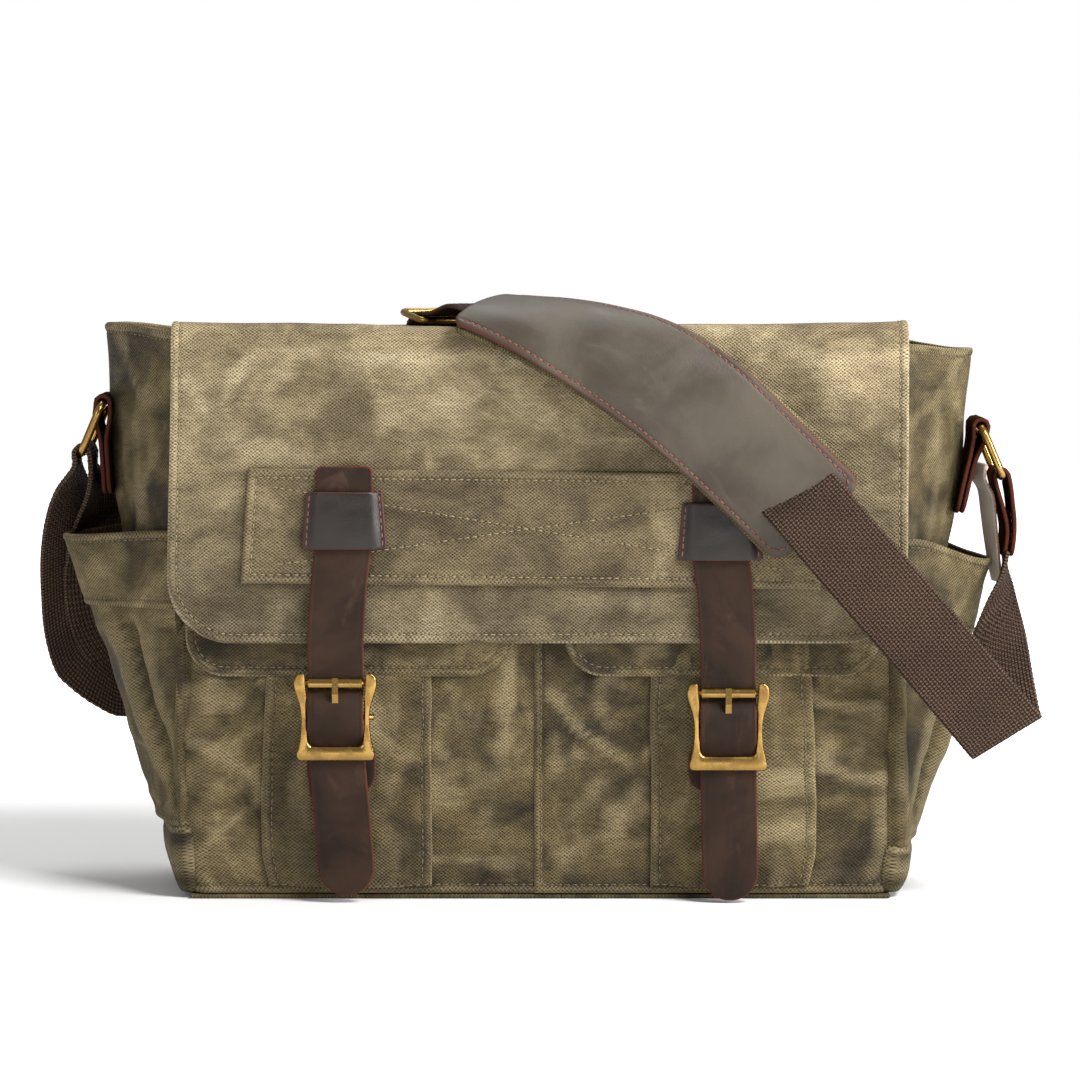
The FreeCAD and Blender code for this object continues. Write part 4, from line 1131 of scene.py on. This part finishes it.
def keeper(side):
    """The leather loop that holds the strap on the band, sewn down at both sides."""
    center, low = ANCHOR_AT[side], KEEPER_LOW[side]
    width, height = 40.0, 28.5
    seed = 560 if side == "left" else 580

    def surface(a, b):
        off = np.abs(a - width / 2)
        over = 1 - ease(off, 13.5, 18.0)
        lean = (b / height - 0.5) * 2.2 * np.sign(a - width / 2) * (off / 20)
        x = center + (a - width / 2) - lean
        hump = 1.3 * np.cos(np.clip(off / 16, 0, 1) * math.pi / 2)
        y = STRAP_Y - over * (2.2 + hump + 0.4 * np.sin(np.clip(b / height, 0, 1) * math.pi))
        return np.stack([x, y, low + b], axis=-1)
    loop = Cloth(width, height, surface, thick=2.2, step=1.8, fine=THIN, rim=0.9, raw=True, low_round=1.5,
                 top_round=1.5, relief=lambda a, b: layered_noise(a / 14, b / 14, seed) * 0.3,
                 shift=(seed * 2, 0))
    loop.piece("strap_keeper_leather_" + side, "leather_shiny", "flap_front", ["strap_keeper_" + side])
    seam = Stitches(3.3, 2.5, 0.42)
    for a in (2.3, width - 2.3):
        seam.run(loop, [(a, 1.5), (a, height - 1.5)])
    seam.pieces("strap_keeper_stitches_" + side, "thread_red", "flap_front")


def chape(side):
    """The leather that folds round the buckle's hidden bar and is sewn to itself above the snap."""
    center, bar = STRAP_AT[side], ROLLER_Z[side] - 17
    turn = -1 if side == "left" else 1
    back, front = -70.9, -73.1
    line = [(center, back, 50), (center, back, bar - 8), (center, -72.6, bar - 1.5), (center, -74.4, bar + 2.2),
            (center, -76.6, bar + 2.4), (center, -78.2, bar + 0.4), (center, -77.6, bar - 2.6),
            (center, front, bar - 9), (center, front, 50)]
    face = [(0, 1, 0), (0, 1, 0), (0, 0.8, 0.6), (0, 0.4, 1), (0, -0.3, 1), (0, -1, 0.2), (0, -0.8, -0.6),
            (0, -1, 0), (0, -1, 0)]
    route = Route(line, face)
    width = 27.0
    leather_fold = Cloth(width, route.length, route.surface(width), thick=1.5, step=2.5, fine=THIN, rim=0.8,
                         raw=True,
                         low_round=6, top_round=6, shift=(1300, 0))
    leather_fold.piece("buckle_chape_leather_" + side, "leather", "closure_" + side, ["buckle_chape_" + side])
    low = box_mm("buckle_chape_" + side)[0][2]

    def tab(a, b):
        x = center - turn * 2.4 + (a - 17.0)
        return np.stack([x, np.full_like(a, -69.9), low + 4 + b], axis=-1)
    backing = Cloth(34.0, 22.0, tab, thick=1.6, step=2.0, fine=THIN, rim=0.8, raw=True, low_round=9,
                    top_round=5,
                    shift=(1500, 0))
    backing.piece("buckle_chape_backing_" + side, "leather", "closure_" + side)


def folded_strip(name, side, line, half, replaced, body, seed):
    """A leather strip folded round a bar of a ring and sewn to itself, square to the bag's side."""
    sign = SIDES[side]
    points = np.array([(sign * x, 0, z) for x, z in line], float)
    along = np.gradient(points, axis=0)
    faces = np.cross(along, [0, 1, 0]) * sign
    route = Route(points, faces / np.linalg.norm(faces, axis=1, keepdims=True))
    strip = Cloth(half * 2, route.length, route.surface(half * 2), thick=2.2, step=2.5, fine=THIN, rim=0.9,
                  raw=True, low_round=6, top_round=6, shift=(seed, 0),
                  relief=lambda a, b: layered_noise(a / 16, b / 16, seed) * 0.25)
    strip.piece(name, "leather_matte", body, replaced)
    seam = Stitches(3.4, 2.6, 0.4)
    seam.run(strip, [(4, 22), (4, 4), (half * 2 - 4, 4), (half * 2 - 4, 22), (4, 22)])
    seam.pieces(name + "_stitches", "thread_red", body)


def arc_points(center, radius, start, end, count):
    """Points on an arc in the XZ plane, angles in degrees."""
    angles = np.radians(np.linspace(start, end, count))
    return [(center[0] + radius * math.cos(angle), center[1] + radius * math.sin(angle)) for angle in angles]


def ring_leather():
    """The chapes on the side walls and the tab of the shoulder strap."""
    line = ([(220.4, 200), (221.4, 216), (222.4, 228), (225.0, 238)]
            + arc_points((221.0, 246.0), 3.7, -20, 195, 8)
            + [(217.6, 238), (219.4, 228), (218.8, 216), (217.8, 200)])
    folded_strip("ring_chape_leather_left", "left", line, 18.0, ["ring_chape_left"], "root", 640)
    line = ([(213.8, 190), (217.4, 206), (220.8, 218), (225.0, 227)]
            + arc_points((223.0, 234.0), 3.7, -20, 195, 8)
            + [(219.2, 227), (217.4, 218), (214.4, 206), (211.0, 190)])
    folded_strip("ring_chape_leather_right", "right", line, 18.0, ["ring_chape_right"], "root", 660)
    bar = (233.7, 208.7)
    line = ([(239.0, 168), (240.4, 182), (bar[0] + 5.6, bar[1] - 12), (bar[0] + 4.6, bar[1] - 5)]
            + arc_points(bar, 3.7, 5, 215, 8)
            + [(bar[0] - 1.6, bar[1] - 8), (bar[0] + 0.8, bar[1] - 16), (236.6, 182), (235.4, 168)])
    folded_strip("strap_tab_leather", "right", line, 17.0, ["strap_tab_right"], "root", 680)
    near = [(226.6, -10, 214.8), (226.0, -10, 207), (230.2, -10, 198.5), (231.4, -10, 187.2),
            (232.6, -10, 174.2),
            (234.0, -10, 160.8), (235, -10, 154)]
    far = [(219.6, 10, 216), (219.2, 10, 209.3), (224.2, 10, 201.6), (226.0, 10, 189.5), (227.8, 10, 176.3),
           (230.4, 10, 160.8), (232, 10, 154)]
    strip = EdgeStrip(near, far, 28)
    flesh = Cloth(28, strip.length, strip.surface, thick=1.6, step=2.5, fine=THIN, rim=0.8, raw=True,
                  shift=(1700, 0))
    flesh.piece("strap_tab_inner_layer", "leather_flesh_and_painted_light", "root")


def tube(name, line, radius, material, body, replaced=(), closed=False, sides_count=12):
    """Round wire along a line of points."""
    points = np.array(line, float)
    if closed:
        along = np.roll(points, -1, axis=0) - np.roll(points, 1, axis=0)
    else:
        along = np.gradient(points, axis=0)
    along /= np.linalg.norm(along, axis=1, keepdims=True)
    guide = np.array([0.0, 0.0, 1.0]) if abs(along[:, 2]).max() < 0.9 else np.array([0.0, 1.0, 0.0])
    first = np.cross(along, guide)
    first /= np.linalg.norm(first, axis=1, keepdims=True)
    second = np.cross(along, first)
    angles = np.arange(sides_count) * 2 * math.pi / sides_count
    rings = points[:, None] + radius * (first[:, None] * np.cos(angles)[None, :, None]
                                        + second[:, None] * np.sin(angles)[None, :, None])
    return ring_mesh(name, rings, material, body, replaced, closed)


def ring_mesh(name, rings, material, body, replaced=(), closed=False):
    """A mesh through rings of points, closed on itself or with a cap at each end."""
    count, corners = rings.shape[:2]
    index = np.arange(count * corners).reshape(count, corners)
    faces = []
    for ring in range(count if closed else count - 1):
        ahead = (ring + 1) % count
        for corner in range(corners):
            following = (corner + 1) % corners
            faces.append([index[ring, corner], index[ring, following], index[ahead, following],
                          index[ahead, corner]])
    if not closed:
        faces += [index[0, ::-1].tolist(), index[-1].tolist()]
    faces = [[int(number) for number in face] for face in faces]
    return new_piece(name, rings.reshape(-1, 3), faces, material, body, replaced)


# Half of a buckle frame's outline, from the roller down, and half of its opening.
FRAME_OUTER = [(16.0, 5.0), (18.8, 4.6), (20.3, 2.2), (20.4, -1.6), (19.4, -5.4), (17.9, -10), (17.0, -15),
               (16.9, -20), (17.4, -26), (18.5, -31.5), (19.3, -35), (18.9, -37.2), (17.2, -38.2), (10, -38.3),
               (0, -38.3)]
FRAME_INNER = [(15.2, 4.2), (14.9, 3.4), (14.7, 1.6), (14.5, -1.6), (14.2, -5.4), (14.1, -10), (14.0, -15),
               (14.0, -20), (13.9, -25), (13.6, -28), (13.0, -29.8), (12.0, -30.7), (10.6, -31.0), (6, -31.0),
               (0, -31.0)]


def buckle_frame(side):
    """The waisted frame of a buckle, with its fixed bar and the pin of the roller."""
    center, roller, body = STRAP_AT[side], ROLLER_Z[side], "closure_" + side
    outer = np.array(FRAME_OUTER + [(-x, z) for x, z in FRAME_OUTER[-2::-1]], float)
    inner = np.array(FRAME_INNER + [(-x, z) for x, z in FRAME_INNER[-2::-1]], float)
    outer, inner = smooth_path(outer, 4), smooth_path(inner, 4)
    angles = np.arange(20) * 2 * math.pi / 20
    across, deep = np.cos(angles), np.sin(angles)
    across = np.sign(across) * np.abs(across) ** 0.62
    deep = np.sign(deep) * np.abs(deep) ** 0.62
    middle, half = (outer + inner) / 2, (outer - inner) / 2
    flat = middle[:, None] + half[:, None] * across[None, :, None]
    y = np.broadcast_to(-78.9 - 2.1 * deep[None, :], flat.shape[:2])
    rings = np.stack([center + flat[..., 0], y, roller + flat[..., 1]], axis=-1)
    ring_mesh("buckle_frame_brass_" + side, rings, "brass", body, ["buckle_frame_" + side])
    stub = 18.9 if side == "left" else 17.4
    for name, y, z, first, last, radius in (("buckle_bar_", -76.0, roller - 17, -17.0, stub, 1.5),
                                            ("buckle_pin_", -78.3, roller, -15.6, 15.6, 1.6)):
        line = [(center + x, y, z) for x in np.linspace(first, last, 4)]
        tube(name + side, line, radius, "brass", body)


def strap_slide():
    """The three-bar slide, flat on the strap above the flap."""
    ahead, across = np.array([-0.4416, 0.8818, 0.1650]), np.array([0.8942, 0.4478, 0.0])
    center = np.array([-46.5, 11.0, 289.6])
    corner, half_wide, half_long, radius = 4.0, 21.0, 13.0, 1.7
    line = []
    for x, y, start in ((1, 1, 0), (-1, 1, 90), (-1, -1, 180), (1, -1, 270)):
        for angle in np.radians(np.linspace(start, start + 90, 5)):
            line.append(center + across * (x * (half_wide - corner) + corner * math.cos(angle))
                        + ahead * (y * (half_long - corner) + corner * math.sin(angle)))
    tube("strap_slide_wire", line, radius, "brass", "slide", ["strap_slide"], closed=True)
    bar = [center + across * x for x in np.linspace(-half_wide, half_wide, 5)]
    tube("strap_slide_bar", bar, radius, "brass", "slide")


def hardware():
    """The slide and the buckle frames are drawn anew; the other metal keeps its shape, with softened edges."""
    strap_slide()
    for side in SIDES:
        buckle_frame(side)
        for name, bevel in (("buckle_roller_", 0.35), ("buckle_prong_", 0.7)):
            dress(name + side, "brass", bevel)
        for name in ("snap_stud_", "snap_socket_"):
            dress(name + side, "snap_metal", 0.5)
        dress("strap_ring_" + side, "brass", 0.0)


def dress(name, material, bevel):
    """Give a CAD node its material and, where it has sharp edges, a small bevel."""
    node = bpy.data.objects[name]
    node.data.materials.clear()
    node.data.materials.append(MATERIALS[material])
    node.data.polygons.foreach_set("use_smooth", [True] * len(node.data.polygons))
    if bevel:
        edge = node.modifiers.new("edge", "BEVEL")
        edge.width, edge.segments, edge.limit_method = bevel * MM, 3, "ANGLE"
        edge.angle_limit = math.radians(30)
        edge.harden_normals = False
    flat = node.modifiers.new("flat", "WEIGHTED_NORMAL")
    flat.keep_sharp = True


# ---- shoulder strap
PAD_WIDE, PAD_LONG = 58.5, 212.0
PAD_START = (137.4, 5.8)
PAD_PROFILE = np.array([
    (-78.0, 150), (-82.0, 184), (-90.0, 215), (-95.5, 240), (-96.4, 254), (-93.6, 267), (-87.5, 278.5),
    (-77.5, 287.5), (-65, 293.5), (-50, 297.4), (-33, 299.4), (-14, 299.4), (6, 297.0), (30, 292.5)])
PAD_BEND = ("flap_top", "flap_front", (0, -0.060, 0.290), (0, -0.088, 0.268))


def pad_surface(offset):
    """The pad lies across the front, turns a little on its way up, and bends over the top edge of the bag."""
    profile = smooth_path(PAD_PROFILE)
    places = distances(profile)
    zero = np.interp(184.0, profile[:, 1], places)
    slope = np.gradient(profile, places, axis=0)
    steps = np.linspace(-10, PAD_LONG + 10, 233)
    turn = np.radians(45 - 12 * ease(steps, 45, 150))
    one = steps[1] - steps[0]
    line_x = PAD_START[0] - np.cumsum(np.cos(turn)) * one - 10 * 0.7071
    line_s = PAD_START[1] + np.cumsum(np.sin(turn)) * one + 10 * 0.7071
    line_x += PAD_START[0] - np.interp(0, steps, line_x)
    line_s += PAD_START[1] - np.interp(0, steps, line_s)

    def surface(a, b):
        b = b + offset[2]
        side = a - offset[1] / 2
        angle = np.interp(b, steps, turn)
        x = np.interp(b, steps, line_x) + side * np.sin(angle)
        s = zero + np.interp(b, steps, line_s) + side * np.cos(angle)
        y, z = np.interp(s, places, profile[:, 0]), np.interp(s, places, profile[:, 1])
        ny, nz = -np.interp(s, places, slope[:, 1]), np.interp(s, places, slope[:, 0])
        return np.stack([x, y + ny * offset[0], z + nz * offset[0]], axis=-1)
    return surface


def shoulder_pad():
    """Thick leather with a soft lining under it."""
    def relief(a, b):
        edge = np.minimum(a, PAD_WIDE - a)
        dish = 1.3 * ease(edge, 2, 16)
        return dish + layered_noise(a / 40, b / 50, 701) * 0.5 - 0.4 * hill(edge, 3.2, 0.9)
    pad = Cloth(PAD_WIDE, PAD_LONG, pad_surface((0.0, PAD_WIDE, 0.0)), thick=3.6, step=3.0, fine=FINE, rim=1.7,
                low_round=8, top_round=6, relief=relief, raw=True, shift=(1800, 0))
    piece = pad.piece("shoulder_pad_leather", "leather_pad", PAD_BEND, ["shoulder_pad"])
    under = Cloth(PAD_WIDE + 2.4, PAD_LONG - 2, pad_surface((-3.4, PAD_WIDE + 2.8, 0.6)), thick=3.2, step=3.5,
                  rim=1.2, low_round=7, top_round=5, shift=(2000, 0),
                  relief=lambda a, b: gradient_noise(a / 2.2, b / 2.2, 702) * 0.35)
    under.piece("shoulder_pad_lining", "pad_cloth", PAD_BEND, ["pad_lining"])
    seam = Stitches(3.6, 2.7, 0.42)
    seam.run(pad, [(3.2, PAD_LONG - 5), (3.2, 10), (5.4, 5.0), (10, 3.2), (PAD_WIDE - 10, 3.2),
                   (PAD_WIDE - 5.4, 5.0), (PAD_WIDE - 3.2, 10), (PAD_WIDE - 3.2, PAD_LONG - 5)])
    seam.pieces("shoulder_pad_stitches", "thread_red", PAD_BEND)


WEB_WIDE = 38.0
YARN_WIDE, YARN_LONG = 3.4, 3.1


def web(name, strip, body, replaced, seed, part=(0.0, 1.0)):
    """Webbing along a strip, or along a part of it, with the small bumps of its woven edges."""
    start, end = (share * strip.length for share in part)

    def surface(a, b):
        edge = np.minimum(a, WEB_WIDE - a)
        push = (0.16 * np.sin((b + start) / YARN_LONG * 2 * math.pi) * np.sign(a - WEB_WIDE / 2)
                * hill(edge, 0, 1.2))
        return strip.surface(a + push, b + start)

    def relief(a, b):
        over = np.sin(a / YARN_WIDE * 2 * math.pi) * np.sin((b + start) / YARN_LONG * 2 * math.pi)
        return over * 0.24 + layered_noise(a / 30, (b + start) / 40, seed) * 0.5
    cloth = Cloth(WEB_WIDE, end - start, surface, thick=2.3, step=0.95, fine=[0, 0.3, 0.9], rim=0.9,
                  relief=relief,
                  shift=(seed * 2, start), blunt=True)
    cloth.wear[:] = 0
    return cloth.piece(name, "webbing", body, replaced)


# The two edges of each stretch of webbing, from the pad outwards, and the middle line over the top.
FRONT_LOW_EDGE = [
    (106.0, -85.0, 197.5), (110.5, -88.4, 192.6), (116.5, -91.6, 185.6), (137, -91.6, 161.6),
    (165, -88.6, 129.6),
    (192, -83.6, 97.8), (206, -80.0, 81.2), (212.4, -77.0, 73.6), (213.6, -73.6, 73.0), (212.6, -71.0, 78),
    (209, -66, 95), (212, -50, 118), (224, -31, 143), (233, -22, 158), (237.2, -17, 171)]
FRONT_TOP_EDGE = [
    (137.0, -85.8, 222.0), (141.5, -89.4, 217.0), (147.5, -92.2, 210.2), (168, -91.6, 186.4),
    (196, -88.6, 154.8),
    (223, -84.0, 123.2), (239, -80.2, 104.4), (246.8, -77.4, 95.2), (248.0, -73.6, 94.2), (247.2, -70.8, 98),
    (245, -63, 113), (244, -36, 132), (242, -2, 150), (239.4, 12, 160), (237.2, 17, 171)]
LEFT_LOW_EDGE = [
    (-190, 76, 95), (-206, 78, 82), (-221, 72, 77), (-235, 65, 84), (-248, 58, 95), (-254, 52, 104),
    (-258, 42, 124), (-258, 28, 152), (-255, 14, 178), (-247.5, -3, 199), (-236.0, -19, 213)]
LEFT_TOP_EDGE = [
    (-208, 76, 134), (-218, 78, 124), (-221, 74, 121), (-222, 68, 127), (-223, 64, 133), (-224, 60, 137),
    (-225, 54, 146), (-226, 48, 164), (-228, 40, 186), (-232, 30, 202), (-236.0, 19, 214)]
INNER_LOW_EDGE = [
    (-227.6, -17, 209), (-231, -4, 197), (-240, 14, 178), (-247, 34, 152), (-245, 50, 124), (-236, 62, 106),
    (-222, 74, 92), (-206, 82, 92), (-190, 79, 102)]
INNER_TOP_EDGE = [
    (-227.6, 21, 212), (-216, 30, 212), (-209, 38, 203), (-207, 44, 186), (-210, 52, 165), (-213, 60, 148),
    (-216, 70, 138), (-216, 80, 132), (-208, 79, 137)]
TOP_MIDDLE = [
    (-20, -52, 293.8), (-29, -32, 295.2), (-38, -10, 291.6), (-46.5, 11, 290.8), (-49, 30, 286.6),
    (-50, 48, 284.8),
    (-51, 61, 281.5), (-52, 67.5, 273.0), (-62, 69.0, 257), (-108, 69.5, 215), (-158, 70, 168), (-187, 70, 142)]


def webbing():
    """The webbing from the pad's slot to the right ring, and from the pad by the back to the left ring."""
    strip = EdgeStrip(FRONT_LOW_EDGE, FRONT_TOP_EDGE, WEB_WIDE)
    cut = 0.37
    bend = ("flap_front", "flap_top", (0.148, -0.090, 0.178), (0.180, -0.090, 0.141))
    web("webbing_front_upper", strip, bend, ["webbing_front"], 810, (0.0, cut + 0.002))
    bend = ("flap_top", "root", (0.205, -0.085, 0.145), (0.2406, 0.0, 0.165))
    web("webbing_front_lower", strip, bend, ["webbing_right"], 810, (cut - 0.002, 1.0))
    middle = np.array(TOP_MIDDLE, float)
    ahead = np.gradient(middle, axis=0)
    face = np.array([(0, 0, 1)] * 5 + [(0, 0.3, 1), (0, 0.8, 0.7)] + [(0, 1, 0)] * 5, float)
    across = np.cross(ahead, face)
    across *= (WEB_WIDE / 2) / np.linalg.norm(across, axis=1, keepdims=True)
    if across[-1][2] > 0:
        across = -across
    loop = [(-235.4, 221), (-231.7, 224.4), (-228.2, 221)]
    again = middle[6:-1][::-1] + np.array([0, 3.0, 0])
    beside = across[6:-1][::-1]
    first = ((middle + across).tolist() + LEFT_LOW_EDGE + [(x, -19, z) for x, z in loop] + INNER_LOW_EDGE
             + (again + beside).tolist())
    second = ((middle - across).tolist() + LEFT_TOP_EDGE + [(x, 19, z) for x, z in loop] + INNER_TOP_EDGE
              + (again - beside).tolist())
    web("webbing_long", EdgeStrip(first, second, WEB_WIDE), BACK_BEND,
        ["webbing_top", "webbing_back", "webbing_return", "webbing_left"], 830)


def run_all():
    main_flap()
    flap_rear()
    flap_band()
    back_and_base()
    sides()
    front_pockets()
    inside()
    for side in SIDES:
        closing_strap(side)
        keeper(side)
        chape(side)
    ring_leather()
    hardware()
    shoulder_pad()
    webbing()


# ---- stage
LAMPS = (  # name, place, aim, size and power
    ("key", (1.05, -1.15, 1.6), (0, 0, 0.2), 0.7, 47), ("side", (1.9, -0.95, 0.7), (0.15, 0, 0.12), 0.6, 36),
    ("fill", (-1.5, -2.0, 1.0), (0, 0, 0.15), 1.2, 9), ("back", (0.1, 1.0, 2.2), (0, 0.3, 0.1), 1.5, 26))
SKY_LIGHT, SKY_SEEN = 0.36, 1.0
FLOOR_HALF, FADE_START, FADE_END = 4.0, 0.35, 0.9
CAMERA_TILT, CAMERA_FAR, CAMERA_LENS, CAMERA_SENSOR = math.radians(4.0), 2.2, 148, 36
CAMERA_AIM = (0.0, -0.065, 0.180)


def stage():
    """A pale floor that fades to white, soft light and the camera."""
    nodes = Nodes("paper")
    place = nodes.add("ShaderNodeTexCoord").outputs["Object"]
    far = nodes.add("ShaderNodeVectorMath", {0: place}, operation="LENGTH").outputs["Value"]
    grain = nodes.noise(place, 40.0, 3.0)
    nodes.finish(Base_Color=(0.9, 0.9, 0.9, 1), Roughness=nodes.step(grain, 0.3, 0.7, 0.75, 0.85),
                 Specular_IOR_Level=0.1, Emission_Color=(1, 1, 1, 1),
                 Emission_Strength=nodes.step(far, FADE_START, FADE_END))
    half = FLOOR_HALF
    mesh = bpy.data.meshes.new("paper_floor")
    mesh.from_pydata([(-half, -half, 0), (half, -half, 0), (half, half, 0), (-half, half, 0)], [],
                     [(0, 1, 2, 3)])
    floor = bpy.data.objects.new("paper_floor", mesh)
    floor.data.materials.append(nodes.material)
    bpy.context.scene.collection.objects.link(floor)
    for name, place, aim, size, power in LAMPS:
        light = bpy.data.lights.new(name, "AREA")
        light.size, light.energy = size, power
        lamp = bpy.data.objects.new(name, light)
        lamp.location = place
        lamp.rotation_euler = aim_rotation(np.array(aim) - np.array(place))
        bpy.context.scene.collection.objects.link(lamp)
    world = bpy.data.worlds.new("studio")
    world.use_nodes = True
    sky = world.node_tree
    seen = sky.nodes.new("ShaderNodeLightPath")
    level = sky.nodes.new("ShaderNodeMapRange")
    level.inputs["To Min"].default_value, level.inputs["To Max"].default_value = SKY_LIGHT, SKY_SEEN
    sky.links.new(seen.outputs["Is Camera Ray"], level.inputs["Value"])
    sky.nodes["Background"].inputs[0].default_value = (1, 1, 1, 1)
    sky.links.new(level.outputs["Result"], sky.nodes["Background"].inputs[1])
    bpy.context.scene.world = world
    bpy.context.scene.view_settings.view_transform = "Standard"
    camera = bpy.data.objects.new("camera", bpy.data.cameras.new("camera"))
    target = np.array(CAMERA_AIM)
    place = target + CAMERA_FAR * np.array([0, -math.cos(CAMERA_TILT), math.sin(CAMERA_TILT)])
    camera.location = place
    camera.rotation_euler = aim_rotation(target - place)
    camera.data.sensor_width, camera.data.lens = CAMERA_SENSOR, CAMERA_LENS
    bpy.context.scene.collection.objects.link(camera)
    bpy.context.scene.camera = camera


def aim_rotation(toward):
    """The turn that points a camera or lamp along a direction."""
    return Vector(toward).to_track_quat("-Z", "Y").to_euler()


run_all()
stage()
